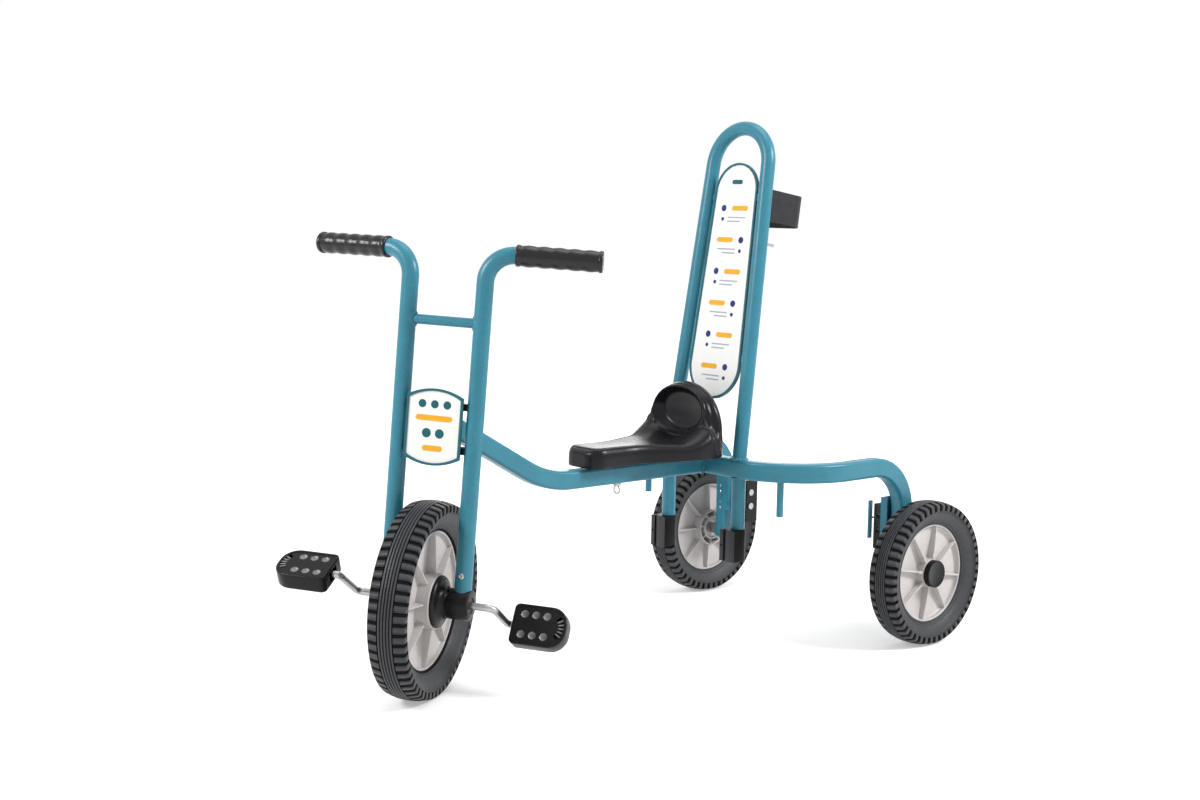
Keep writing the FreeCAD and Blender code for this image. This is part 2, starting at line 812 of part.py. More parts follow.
def padded_body(label, outlines, thickness_formula):
    """Closed outlines in the XZ plane, padded towards -Y."""
    body = doc.addObject("PartDesign::Body", label)
    plan = new_sketch(body, label + "_plan", "XZ_Plane")
    for outline in outlines:
        plan.addGeometry(outline, False)
    pad = body.newObject("PartDesign::Pad", label + "_pad")
    pad.Profile = plan
    pad.setExpression("Length", thickness_formula)
    body.Tip = pad
    return body


def badge():
    """White plate in a coloured rim, on the front of both bridges."""
    place = STEERING * shift(0, -BRIDGE_FRONT, v.HeadHeight)
    outer = badge_outline(0)
    inner = badge_outline(v.BadgeRimWidth)
    frame = padded_body("badge_rim", [outer, inner], "Sizes.BadgeRimThickness")
    finish(frame, "badge_rim", place)
    plate = padded_body("badge_plate", [inner], "Sizes.BadgeThickness")
    finish(plate, "badge_plate", place)


# Frame

def head_and_main_beam():
    rake = math.radians(v.SteeringRake)
    centre = STEERING.multVec(Vector(0, 0, v.HeadHeight))
    axis_place = Placement(centre, Rotation(X_AXIS, -v.SteeringRake))
    outline = [
        (-v.HeadLength / 2, v.HeadPinRadius + v.RunningFit, 0),
        (v.HeadLength / 2, v.HeadPinRadius + v.RunningFit, 0),
        (v.HeadLength / 2, v.HeadRadius, 0),
        (-v.HeadLength / 2, v.HeadRadius, 0),
    ]
    head = revolved_body("head_tube", closed_lines(outline))[0]
    finish(head, "head_tube", axis_place * turn(Y_AXIS, -90))
    slope = math.radians(v.MainBeamSlope)
    start = centre + Vector(0, math.sin(rake), math.cos(rake)) * v.MainBeamHeadRise
    level = MAIN_TOP - v.MainTubeHeight / 2
    corner_y = start.y + (start.z - level) / math.tan(slope)
    inset = v.MainBendRadius * math.tan(slope / 2)
    section = rounded_rectangle(v.MainTubeWidth, v.MainTubeHeight, v.TubeCornerRadius)
    # The section's Z axis points back and down the slope, and its Y axis to the tube's underside
    heading = Rotation(X_AXIS, -90.0 - v.MainBeamSlope)
    walker = TubeWalker(section, Placement(start, heading))
    walker.run((corner_y - start.y) / math.cos(slope) - inset)
    walker.bend(v.MainBendRadius, v.MainBeamSlope, -Y_AXIS)
    walker.run(CROSS_Y - v.RearTubeWidth / 2 - corner_y - inset)
    # Its end is cut to the head tube, and nothing of it is left ahead of the steering axis
    reach = v.HeadLength
    bore = cylinder(v.HeadRadius, -reach, reach)
    ahead = box((-reach, -reach, -reach), (reach, 0, reach))
    for cutter in (bore, ahead):
        cutter.Placement = axis_place
    behind_head = max(walker.solid().cut([bore, ahead]).Solids, key=lambda solid: solid.Volume)
    feature("main_beam", behind_head)


def axle_beam():
    """Rear frame tube: across under the hoop, back along both sides and down to the axles."""
    level = BEAM_TOP - v.RearTubeHeight / 2
    section = rounded_rectangle(v.RearTubeWidth, v.RearTubeHeight, v.TubeCornerRadius)
    halves = []
    for side in SIDES.values():
        # The section's X axis points forward or back, and its Y axis points down
        heading = Rotation(Z_AXIS, -90.0 * side) * Rotation(X_AXIS, -90.0)
        walker = TubeWalker(section, Placement(Vector(0, CROSS_Y, level), heading))
        walker.run(SIDE_X - v.PlanBendRadius)
        walker.bend(v.PlanBendRadius, 90.0, X_AXIS * -side)
        walker.run(v.CrossAheadOfAxle - v.DropBendRadius - v.PlanBendRadius)
        walker.bend(v.DropBendRadius, 90.0, Y_AXIS)
        walker.run(level - v.DropBendRadius - v.RearTyreRadius)
        halves.append(walker.solid())
        foot = Vector(0, REAR_Y, v.RearTyreRadius)
        halves.append(cylinder(v.RearTubeHeight / 2, side * LEG_INNER, side * LEG_OUTER, X_AXIS, foot))
    return feature("axle_beam", halves[0].multiFuse(halves[1:]).removeSplitter())


def bracket(name, side):
    """Channel on the inner side of the drop leg, with a buffer strip and a strap on two pins."""
    inner = LEG_INNER - v.BracketDepth
    front = REAR_Y - v.BracketAheadOfAxle - v.BracketWidth / 2
    back = front + v.BracketWidth
    wall = v.BracketWall
    channel = box((inner, front, v.BracketBottom), (LEG_INNER, back, v.BracketTop))
    gap = box((inner + wall, front + wall, v.BracketBottom), (LEG_INNER, back - wall, v.BracketTop))
    slot_centre = Vector(0, (front + back) / 2, v.BracketTop - v.BracketSlotDrop)
    slot = cylinder(v.BracketSlotRadius, inner, LEG_INNER, X_AXIS, slot_centre)
    strip_x = LEG_INNER - v.StripInset
    strip_y = REAR_Y + v.StripBehindAxle
    strip = box(
        (strip_x, strip_y - v.StripWidth / 2, v.StripBottom),
        (strip_x + v.StripThickness, strip_y + v.StripWidth / 2, v.StripTop),
    )
    strap_x = LEG_INNER - v.StrapInset
    strap_y = REAR_Y - v.StrapAheadOfAxle
    strap = box(
        (strap_x, strap_y - v.StrapWidth / 2, v.StrapBottom),
        (strap_x + v.StrapThickness, strap_y + v.StrapWidth / 2, v.StrapTop),
    )
    pins = []
    holes = []
    for height in (v.BracketPinLow, v.BracketPinHigh):
        centre = Vector(0, REAR_Y + v.BracketPinBehindAxle, height)
        head = cylinder(v.BracketPinHeadRadius, strip_x - v.BracketPinHeadLength, strip_x, X_AXIS, centre)
        shank = cylinder(v.BracketPinRadius, strip_x, inner, X_AXIS, centre)
        pins.append(head.fuse(shank))
        holes.append(shank)
    # A short cross rod carries the strap from the strip's front edge
    rod_centre = Vector(strap_x + v.StrapThickness / 2, 0, v.BracketPinHigh)
    rod_start = strap_y + v.StrapWidth / 2
    rod = cylinder(v.StrapRodRadius, rod_start, strip_y - v.StripWidth / 2, Y_AXIS, rod_centre)
    pieces = {
        "wheel_bracket_": channel.cut([gap, slot]),
        "bracket_strip_": strip.cut(holes),
        "bracket_strap_": strap.fuse(rod),
        "bracket_pins_": Part.makeCompound(pins),
    }
    for label, shape in pieces.items():
        feature(label + name, shape if side > 0 else shape.mirror(Vector(), X_AXIS))


def peg_and_dock(name, side):
    """Hanging peg under the bend, and the dock tube with its block below the hoop's leg."""
    swing = math.radians(v.PegSwing)
    bend_x = SIDE_X - v.PlanBendRadius
    spot = Vector(
        side * (bend_x + v.PlanBendRadius * math.cos(swing)),
        CROSS_Y + v.PlanBendRadius * (1 - math.sin(swing)),
        v.BeamUnderside - v.PegLength,
    )
    peg = doc.addObject("Part::Cylinder", "beam_peg_" + name)
    peg.setExpression("Radius", "Sizes.PegRadius")
    peg.setExpression("Height", "Sizes.PegLength")
    finish(peg, "beam_peg_" + name, Placement(spot, Rotation()))
    foot = v.DockBlockTop - v.DockBlockHeight + v.DockTubeCover
    tube = doc.addObject("Part::Cylinder", "dock_tube_" + name)
    tube.setExpression("Radius", "Sizes.DockTubeRadius")
    tube.setExpression(
        "Height", "Sizes.BeamUnderside - Sizes.DockBlockTop + Sizes.DockBlockHeight - Sizes.DockTubeCover"
    )
    finish(tube, "dock_tube_" + name, shift(side * v.DockHalfSpacing, CROSS_Y, foot))
    dock_block("dock_block_" + name, side * v.DockHalfSpacing)


def dock_block(label, x):
    """Moulded shoe round the tube's end: flat grooved front, tapering to a round back."""
    half = v.DockBlockWidth / 2
    reach = v.DockBlockReach
    wall = v.DockTubeRadius + v.DockBlockWall
    body = doc.addObject("PartDesign::Body", label)
    plan = new_sketch(body, label + "_plan", "XY_Plane")
    sides = [
        line((-wall, 0, 0), (-half, -reach, 0)),
        line((-half, -reach, 0), (half, -reach, 0)),
        line((half, -reach, 0), (wall, 0, 0)),
        arc((0, 0, 0), wall, 0, 180),
    ]
    plan.addGeometry(sides, False)
    block = body.newObject("PartDesign::Pad", label + "_block")
    block.Profile = plan
    block.setExpression("Length", "Sizes.DockBlockHeight")
    body.Tip = block
    doc.recompute()
    socket_plan = round_section(
        body, label + "_socket_plan", "Sizes.DockTubeRadius", "XY_Plane", v.DockTubeCover
    )
    socket = body.newObject("PartDesign::Pocket", label + "_socket")
    socket.Profile = socket_plan
    socket.Reversed = True
    socket.Length = v.DockBlockHeight
    body.Tip = socket
    doc.recompute()
    groove_plan = new_sketch(body, label + "_groove_plan", "XY_Plane")
    count = int(v.DockGrooveCount)
    pitch = v.DockBlockWidth / (count + 1)
    near = -reach - v.CutOverrun
    far = v.DockGrooveDepth - reach
    for index in range(count):
        middle = (index - (count - 1) / 2) * pitch
        left = middle - v.DockGrooveWidth / 2
        right = middle + v.DockGrooveWidth / 2
        corners = [(left, near, 0), (right, near, 0), (right, far, 0), (left, far, 0)]
        groove_plan.addGeometry(closed_lines(corners), False)
    grooves = body.newObject("PartDesign::Pocket", label + "_grooves")
    grooves.Profile = groove_plan
    grooves.Reversed = True
    grooves.setExpression("Length", "Sizes.DockBlockHeight")
    body.Tip = grooves
    finish(body, label, shift(x, CROSS_Y, v.DockBlockTop - v.DockBlockHeight))


# Hoop and what it carries

def hoop_tilt():
    """Angle, in radians, by which each hoop leg leans inwards to meet the top arc."""
    height = v.HoopHeight - v.HoopTopRadius
    reach = math.hypot(v.DockHalfSpacing, height)
    return math.atan2(v.DockHalfSpacing, height) - math.asin(v.HoopTopRadius / reach)


def hoop_half_at(height):
    """Distance from the middle to a hoop leg's centreline at a height along the hoop."""
    return v.DockHalfSpacing - height * math.tan(hoop_tilt())


def hoop_leg(side):
    """Round bar that stands for one hoop leg in cuts."""
    leg = cylinder(v.HoopTubeRadius, -v.HoopTubeRadius, v.HoopHeight - v.HoopTopRadius)
    leg.Placement = shift(side * v.DockHalfSpacing, 0, 0) * turn(Y_AXIS, -side * math.degrees(hoop_tilt()))
    return leg


def hoop(beam):
    """Tapering hoop, trimmed at its feet by the beam that it stands on."""
    tilt = hoop_tilt()
    radius = v.HoopTopRadius
    centre = v.HoopHeight - radius
    touch_x = radius * math.cos(tilt)
    touch_z = centre + radius * math.sin(tilt)
    foot_z = -v.HoopTubeRadius / 2
    foot_x = hoop_half_at(foot_z)
    degrees = math.degrees(tilt)
    path = [
        line((-foot_x, foot_z, 0), (-touch_x, touch_z, 0)),
        arc((0, centre, 0), radius, degrees, 180 - degrees),
        line((touch_x, touch_z, 0), (foot_x, foot_z, 0)),
    ]

    def section(body):
        return round_section(
            body, "hoop_section", "Sizes.HoopTubeRadius", "XY_Plane", foot_z, (-foot_x, 0, 0)
        )

    tube = pipe_body("hoop_tube", path, section)
    tube.Placement = HOOP
    trimmed = doc.addObject("Part::Cut", "hoop")
    trimmed.Base = tube
    trimmed.Tool = beam
    finish(trimmed, "hoop")
    return tube


def panel_outline(inset):
    """Two arcs of different radius joined by their tangents, in the hoop's plane."""
    top = v.PanelTopRadius - inset
    bottom = v.PanelBottomRadius - inset
    high = v.PanelTop - v.PanelTopRadius
    low = v.PanelBottom + v.PanelBottomRadius
    tilt = math.asin((bottom - top) / (high - low))
    degrees = math.degrees(tilt)
    across = math.cos(tilt)
    rise = math.sin(tilt)
    return [
        line((bottom * across, low + bottom * rise, 0), (top * across, high + top * rise, 0)),
        arc((0, high, 0), top, degrees, 180 - degrees),
        line((-top * across, high + top * rise, 0), (-bottom * across, low + bottom * rise, 0)),
        arc((0, low, 0), bottom, 180 - degrees, 360 + degrees),
    ]


def panel():
    outer = panel_outline(0)
    inner = panel_outline(v.PanelRimWidth)
    frame = padded_body("panel_rim", [outer, inner], "Sizes.PanelRimThickness")
    finish(frame, "panel_rim", HOOP * shift(0, v.PanelRimThickness / 2, 0))
    board = padded_body("panel_board", [inner], "Sizes.PanelThickness")
    finish(board, "panel_board", HOOP * shift(0, v.PanelThickness / 2, 0))


def panel_lugs(hoop_tube):
    """Four small lugs that hold the panel's rim between the hoop's legs."""
    edges = [curve.toShape() for curve in panel_outline(0)]
    rim_solid = Part.Face(Part.Wire(edges)).extrude(Z_AXIS * v.PanelRimThickness)
    rim_solid.Placement = shift(0, v.PanelRimThickness / 2, 0) * turn(X_AXIS, 90)
    tube_solid = hoop_tube.Shape.copy()
    tube_solid.Placement = HOOP.inverse() * tube_solid.Placement
    lugs = []
    for height in (v.LowerLugHeight, v.UpperLugHeight):
        for side in SIDES.values():
            leg_x = side * hoop_half_at(height)
            plate = box(
                (leg_x, -v.PanelLugThickness / 2, height - v.PanelLugHeight / 2),
                (leg_x - side * v.HoopTubeRadius * 2, v.PanelLugThickness / 2, height + v.PanelLugHeight / 2),
            )
            trimmed = plate.cut([tube_solid, rim_solid])
            lugs.append(max(trimmed.Solids, key=lambda solid: solid.Volume))
    feature("panel_lugs", Part.makeCompound(lugs), HOOP)


def band_outline(inset, front):
    """Plan of the band's outer or inner face, from the hoop's plane round behind it."""
    x = hoop_half_at(v.BandCentre) - inset
    y = v.BandReach - inset
    corner = v.BandCornerRadius - inset
    return [
        line((x, front, 0), (x, y - corner, 0)),
        arc((x - corner, y - corner, 0), corner, 0, 90),
        line((x - corner, y, 0), (corner - x, y, 0)),
        arc((corner - x, y - corner, 0), corner, 90, 180),
        line((-x, y - corner, 0), (-x, front, 0)),
        line((-x, front, 0), (x, front, 0)),
    ]


def pole_band():
    """Stiff webbing band from one hoop leg round behind to the other."""
    outer = Part.Face(Part.Wire([curve.toShape() for curve in band_outline(0, 0)]))
    inner = Part.Face(Part.Wire([curve.toShape() for curve in band_outline(v.BandThickness, -v.CutOverrun)]))
    loop = outer.cut(inner).extrude(Z_AXIS * v.BandHeight)
    loop.translate(Z_AXIS * (v.BandCentre - v.BandHeight / 2))
    behind = loop.cut([hoop_leg(side) for side in SIDES.values()])
    feature("pole_band", max(behind.Solids, key=lambda solid: solid.Volume), HOOP)


def hoop_pins():
    """A small steel pin behind each hoop leg, just off the tube that its weld joins it to."""
    start = v.HoopTubeRadius + v.HoopPinWeldGap
    pins = []
    for side in SIDES.values():
        centre = Vector(side * hoop_half_at(v.HoopPinHeight), 0, v.HoopPinHeight)
        pins.append(cylinder(v.HoopPinRadius, start, v.HoopTubeRadius + v.HoopPinLength, Y_AXIS, centre))
    feature("hoop_pins", Part.makeCompound(pins), HOOP)


# Saddle

SADDLE_LENGTH = v.SaddleNoseAhead - v.SaddleBackAhead
ARCH_START = SADDLE_LENGTH - v.SaddleArchFromBack
CREST_START = SADDLE_LENGTH - v.SaddleCrestFromBack


def part_way(value, start, end):
    """How far a value has come from one end of a range to the other, from 0 to 1."""
    return min(max((value - start) / (end - start), 0), 1)


def eased(share):
    return (1 - math.cos(math.pi * share)) / 2


def blend(one, other, share):
    return one + (other - one) * share


def saddle_half_width(along):
    """Half of the plan's width: rounded nose, smooth flare and a wide back with large corners."""
    nose, wide = v.SaddleNoseHalfWidth, v.SaddleBackHalfWidth
    small, big = v.SaddleNoseCorner, v.SaddleBackCorner
    if along < small:
        return nose - small + math.sqrt(small ** 2 - (small - along) ** 2)
    past = along - SADDLE_LENGTH + big
    if past > 0:
        return wide - big + math.sqrt(max(big ** 2 - past ** 2, 0))
    share = part_way(along, v.SaddleFlareFromNose, SADDLE_LENGTH - v.SaddleWideFromBack)
    return blend(nose, wide, eased(share))


def saddle_section(along, half):
    """Closed wire across the saddle through the points of its near half, mirrored."""
    near = [Vector(x, along, z) for x, z in half]
    far = [Vector(-x, along, z) for x, z in reversed(half[:-1])]
    top = Part.BSplineCurve()
    top.interpolate(Points=near + far)
    return Part.Wire([top.toShape(), Part.makeLine(far[-1], near[0])])


def seat_section(along):
    """Section of the nose and the seat: upright skirt, round shoulder, rim and shallow dish."""
    steps = int(v.SaddleProfileSteps)
    wide = saddle_half_width(along)
    low = blend(v.SaddleNoseLift, v.SaddleBackLift, along / SADDLE_LENGTH)
    rise = v.SaddleRimRise * part_way(along, v.SaddleRiseFromNose, ARCH_START) ** 2
    drop = v.SaddleNoseDrop * (1 - part_way(along, 0, v.SaddleNoseRound)) ** 2
    top = v.SaddleRimHeight + rise - drop
    share = part_way(along, v.SaddleDishFromNose, ARCH_START)
    dish = v.SaddleDishDepth * math.sin(math.pi * share ** 2)
    inset = min(v.SaddleShoulder, wide / 2) + v.SaddleShoulderGrowth * share
    shoulder = (low + top) / 2
    half = [(wide, low), (wide, (low + shoulder) / 2), (wide, shoulder)]
    for step in range(1, steps + 1):
        turned = math.pi / 2 * step / steps
        half.append((wide - inset * (1 - math.cos(turned)), blend(shoulder, top, math.sin(turned))))
    for step in range(1, steps + 1):
        inward = step / steps
        half.append(((wide - inset) * (1 - inward), top - dish * math.sin(math.pi / 2 * inward)))
    return saddle_section(along, half)


def arch_section(along):
    """Section of the arched back: flanks that lean in from the skirt, then half an ellipse."""
    wide = saddle_half_width(along)
    low = blend(v.SaddleNoseLift, v.SaddleBackLift, along / SADDLE_LENGTH)
    ahead = part_way(along, ARCH_START, CREST_START)
    behind = part_way(along, CREST_START, SADDLE_LENGTH)
    reach = blend(v.SaddleArchHalfWidth, wide - v.SaddleCrestInset, ahead)
    if behind > 0:
        centre = blend(v.SaddleCrestCentre, v.SaddleBackCentre, behind)
        flank = blend(v.SaddleCrestFlank, v.SaddleBackFlank, behind)
        crest = blend(v.SaddleBackTop, v.SaddleCrestTop, math.sqrt(1 - behind ** 2))
    else:
        centre = blend(v.SaddleArchCentre, v.SaddleCrestCentre, ahead)
        flank = blend(v.SaddleArchFlank, v.SaddleCrestFlank, ahead)
        crest = blend(v.SaddleArchTop, v.SaddleCrestTop, math.sin(math.pi / 2 * ahead))
    half = [(wide, low), (wide, (low + flank) / 2), (wide, flank), ((wide + reach) / 2, (flank + centre) / 2)]
    steps = 2 * int(v.SaddleProfileSteps) - 2
    for step in range(steps + 1):
        turned = math.pi / 2 * step / steps
        half.append((reach * math.cos(turned), blend(centre, crest, math.sin(turned))))
    return saddle_section(along, half)


def saddle():
    """Moulded saddle on a narrow foot: low nose, dished seat and a hollowed arch behind."""
    seat_end = ARCH_START - v.SaddleArchStep
    seat_steps = int(v.SaddleSeatSections)
    sections = [seat_section(seat_end * (step / seat_steps) ** 2) for step in range(seat_steps + 1)]
    for step in range(int(v.SaddleArchSections)):
        sections.append(arch_section(blend(ARCH_START, CREST_START, step / v.SaddleArchSections)))
    for step in range(int(v.SaddleBackSections) + 1):
        turned = math.pi / 2 * step / v.SaddleBackSections
        sections.append(arch_section(blend(CREST_START, SADDLE_LENGTH, math.sin(turned))))
    shell = Part.makeLoft(sections, True, True)
    stretch = FreeCAD.Matrix()
    stretch.scale(Vector(v.SaddleBowlHalfWidth, v.SaddleBowlDepth, v.SaddleBowlHalfHeight))
    bowl = Part.makeSphere(1).transformGeometry(stretch)
    bowl.translate(Vector(0, SADDLE_LENGTH - v.SaddleBowlFromBack, v.SaddleBowlHeight))
    half_foot = v.SaddleFootWidth / 2
    foot_start = v.SaddleFootFromNose
    foot = box((-half_foot, foot_start, 0), (half_foot, foot_start + v.SaddleFootLength, v.SaddleRimHeight / 2))
    solid = shell.cut(bowl).fuse(foot)
    feature("saddle", solid, shift(0, REAR_Y - v.SaddleNoseAhead, MAIN_TOP))


def seat_pin():
    """Quick-release pin that holds the saddle, with its pull ring under the beam."""
    spot = Vector(0, REAR_Y - v.SeatPinAhead, v.BeamUnderside)
    head = cylinder(v.SeatPinHeadRadius, -v.SeatPinHeadLength, 0, Z_AXIS, spot)
    ring = Part.makeTorus(v.SeatRingRadius, v.SeatRingWireRadius, Vector(), Y_AXIS)
    ring.translate(spot - Z_AXIS * (v.SeatPinHeadLength + v.SeatRingRadius))
    feature("seat_pin", head.fuse(ring))


# Assembly

front_wheel()
crank_axle()
pedal("left", 1, v.LeftPedalPhase)
pedal("right", -1, v.RightPedalPhase)
rear_beam = axle_beam()
for side_name, side_sign in SIDES.items():
    rear_wheel(side_name, side_sign)
    fork_tube(side_name, side_sign)
    grip(side_name, side_sign)
    axle_housing(side_name, side_sign)
    bracket(side_name, side_sign)
    peg_and_dock(side_name, side_sign)
fork_cross_pieces()
badge()
head_and_main_beam()
hoop_tube = hoop(rear_beam)
doc.recompute()
panel()
panel_lugs(hoop_tube)
pole_band()
hoop_pins()
saddle()
seat_pin()
doc.recompute()


def check_document():
    """Stops with a plain message if anything failed, is empty or is not a valid solid."""
    for thing in doc.Objects:
        bad = [state for state in thing.State if state in ("Invalid", "Error")]
        if bad:
            raise RuntimeError("%s: %s" % (thing.Label, bad))
    for part in PARTS:
        shape = part.Shape
        if shape.isNull() or not shape.isValid() or not shape.Solids:
            raise RuntimeError("%s: bad shape" % part.Label)


def export_parts():
    os.makedirs("parts", exist_ok=True)
    for part in PARTS:
        part.Shape.exportStep(os.path.join("parts", part.Label + ".step"))


check_document()
export_parts()
whole = Part.makeCompound([part.Shape for part in PARTS]).BoundBox
print("parts", len(PARTS), "solids", sum(len(part.Shape.Solids) for part in PARTS))
print("x", round(whole.XMin, 2), round(whole.XMax, 2))
print("y", round(whole.YMin, 2), round(whole.YMax, 2))
print("z", round(whole.ZMin, 2), round(whole.ZMax, 2))
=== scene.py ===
import json
import math

import bmesh
import bpy
from mathutils import Matrix, Vector, noise


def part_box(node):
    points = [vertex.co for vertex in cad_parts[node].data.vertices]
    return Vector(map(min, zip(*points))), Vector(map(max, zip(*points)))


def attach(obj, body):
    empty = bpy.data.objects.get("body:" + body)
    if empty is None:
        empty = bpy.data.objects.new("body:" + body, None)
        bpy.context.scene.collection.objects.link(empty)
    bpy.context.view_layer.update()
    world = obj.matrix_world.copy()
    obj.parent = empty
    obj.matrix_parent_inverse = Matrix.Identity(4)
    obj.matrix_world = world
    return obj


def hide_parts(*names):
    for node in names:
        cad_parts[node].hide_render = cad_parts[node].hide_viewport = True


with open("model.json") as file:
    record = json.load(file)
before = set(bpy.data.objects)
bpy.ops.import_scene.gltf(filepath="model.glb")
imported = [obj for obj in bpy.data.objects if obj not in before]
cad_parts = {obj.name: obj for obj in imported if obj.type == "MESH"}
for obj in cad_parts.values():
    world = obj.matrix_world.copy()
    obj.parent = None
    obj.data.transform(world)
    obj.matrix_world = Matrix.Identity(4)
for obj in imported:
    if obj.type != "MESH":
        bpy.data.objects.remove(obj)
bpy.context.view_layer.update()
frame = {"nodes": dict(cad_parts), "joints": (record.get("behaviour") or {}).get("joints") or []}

# Child's three-wheeler with pedals on the front wheel and a tall hoop behind the saddle.
# +X is the rider's left, -Y is forward, +Z is up. Places in the room are metres; profiles, radii and
# the other sizes of a piece are millimetres.

MM = 0.001
X, Z = Vector((1, 0, 0)), Vector((0, 0, 1))
SIDES = {"left": 1, "right": -1}
JOINTS = {joint["name"]: joint for joint in frame["joints"]}


# Small helpers

def upright(axis, place, lift=Z):
    """Frame at a place with X along an axis and Z as near to the lift as it can be."""
    x = Vector(axis).normalized()
    z = (Vector(lift) - x * x.dot(Vector(lift))).normalized()
    return Matrix.Translation(place) @ Matrix((x, z.cross(x), z)).transposed().to_4x4()


def about(axis, degrees):
    return Matrix.Rotation(math.radians(degrees), 4, axis)


def at(x, y, z):
    """Move in millimetres."""
    return Matrix.Translation((x * MM, y * MM, z * MM))


def stretch(x, y, z):
    return Matrix.Diagonal((x, y, z, 1))


def part_way(value, start, end):
    """Share of the way from start to end, held between 0 and 1."""
    return min(max((value - start) / (end - start), 0), 1)


def blend(one, other, share):
    return one + (other - one) * share


# Places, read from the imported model

STEER_AXIS = JOINTS["steer"]["axis"]
FRONT_SPIN = JOINTS["front_wheel_spin"]
STEERING = upright(FRONT_SPIN["axis"], FRONT_SPIN["pos_m"], STEER_AXIS)
REAR = {
    side: upright((sign, 0, 0), JOINTS["rear_wheel_spin_" + side]["pos_m"])
    for side, sign in SIDES.items()
}
cross_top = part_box("axle_beam")[1].z
beam_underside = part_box("main_beam")[0].z
saddle_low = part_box("saddle")[0]
block_low, block_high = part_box("dock_block_left")
dock_low, dock_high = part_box("dock_tube_left")
CROSS_Y = (dock_low.y + dock_high.y) / 2
DOCK_X = (dock_low.x + dock_high.x) / 2

# Sizes that the solids have too: leans, sweeps and phases in degrees, the rest in millimetres
HOOP_LEAN = 8.3
HANDLE_SWEEP = 13.6
PEDAL_PHASES = {"left": 27.0, "right": 62.0}
FORK_SPACING = 126.8
LEG_RADIUS = 14.0
BEAM_HALF = 14.0
HANDLE_HEIGHT = 556.5
CROSSBAR_HEIGHT = 445.5
BADGE_HEIGHT = 278.0
DROP_LEG_X = 224.7

HOOP = Matrix.Translation((0, CROSS_Y, cross_top)) @ about("X", -HOOP_LEAN)


def handle_place(side):
    """Foot of a grip, with X outwards along it."""
    sign = SIDES[side]
    sweep = HANDLE_SWEEP if sign > 0 else 180 - HANDLE_SWEEP
    return STEERING @ at(sign * FORK_SPACING / 2, 0, HANDLE_HEIGHT) @ about("Z", sweep)


def pedal_place(side):
    """Frame of a pedal with X outwards along its spindle and Z out of its upper face."""
    place = STEERING.to_3x3().to_4x4()
    place.translation = JOINTS["pedal_spin_" + side]["pos_m"]
    place = place @ about("X", 90 - PEDAL_PHASES[side])
    return place if SIDES[side] > 0 else place @ about("Z", 180)


def crank_place():
    """Frame of the crank rod, X along the axle and Z towards the left spindle, and the crank's throw."""
    axis = Vector(FRONT_SPIN["axis"]).normalized()
    reach = Vector(JOINTS["pedal_spin_left"]["pos_m"]) - Vector(FRONT_SPIN["pos_m"])
    arm = reach - axis * reach.dot(axis)
    return upright(axis, FRONT_SPIN["pos_m"], arm), arm.length / MM


def front_face(node_name, place):
    """Lowest Y, in millimetres, of a node in the frame of a place."""
    back = place.inverted()
    return min((back @ vert.co).y for vert in frame["nodes"][node_name].data.vertices) / MM


# Camera

CAMERA_PLACE = (2.16699, -2.01726, 0.79003)
CAMERA_AZIMUTH, CAMERA_PITCH, CAMERA_ROLL = 47.93, 6.50, 1.01
CAMERA_SENSOR, CAMERA_LENS = 36.0, 51.27


def camera():
    """The photograph's camera: degrees round the object, down on it and tilted, lens in millimetres."""
    azimuth, pitch, roll = (math.radians(turn) for turn in (CAMERA_AZIMUTH, CAMERA_PITCH, CAMERA_ROLL))
    level = math.cos(pitch)
    back = Vector((math.sin(azimuth) * level, -math.cos(azimuth) * level, math.sin(pitch)))
    across = Z.cross(back).normalized()
    rise = back.cross(across)
    right = across * math.cos(roll) + rise * math.sin(roll)
    up = rise * math.cos(roll) - across * math.sin(roll)
    data = bpy.data.cameras.new("studio_camera")
    data.sensor_width = CAMERA_SENSOR
    data.lens = CAMERA_LENS
    data.clip_start, data.clip_end = 0.05, 60.0
    eye = bpy.data.objects.new("studio_camera", data)
    eye.matrix_world = Matrix.Translation(CAMERA_PLACE) @ Matrix((right, up, back)).transposed().to_4x4()
    bpy.context.scene.collection.objects.link(eye)
    bpy.context.scene.camera = eye


# Materials

def colour(red, green, blue):
    """Linear colour from the numbers that a paint card gives, 0 to 255."""
    shares = (((c / 255 + 0.055) / 1.055) ** 2.4 if c > 10 else c / 3295 for c in (red, green, blue))
    return tuple(shares) + (1.0,)


def group(name, inputs, outputs):
    """Empty shader node group with named sockets; returns the tree and its two end nodes."""
    tree = bpy.data.node_groups.new(name, "ShaderNodeTree")
    for label, kind, default in inputs:
        socket = tree.interface.new_socket(name=label, in_out="INPUT", socket_type=kind)
        socket.default_value = default
    for label, kind in outputs:
        tree.interface.new_socket(name=label, in_out="OUTPUT", socket_type=kind)
    return tree, tree.nodes.new("NodeGroupInput"), tree.nodes.new("NodeGroupOutput")


def node(tree, kind, values=None, **settings):
    """New node with the given values on its inputs and the given settings."""
    made = tree.nodes.new(kind)
    for key, value in settings.items():
        setattr(made, key, value)
    for key, value in (values or {}).items():
        made.inputs[key].default_value = value
    return made


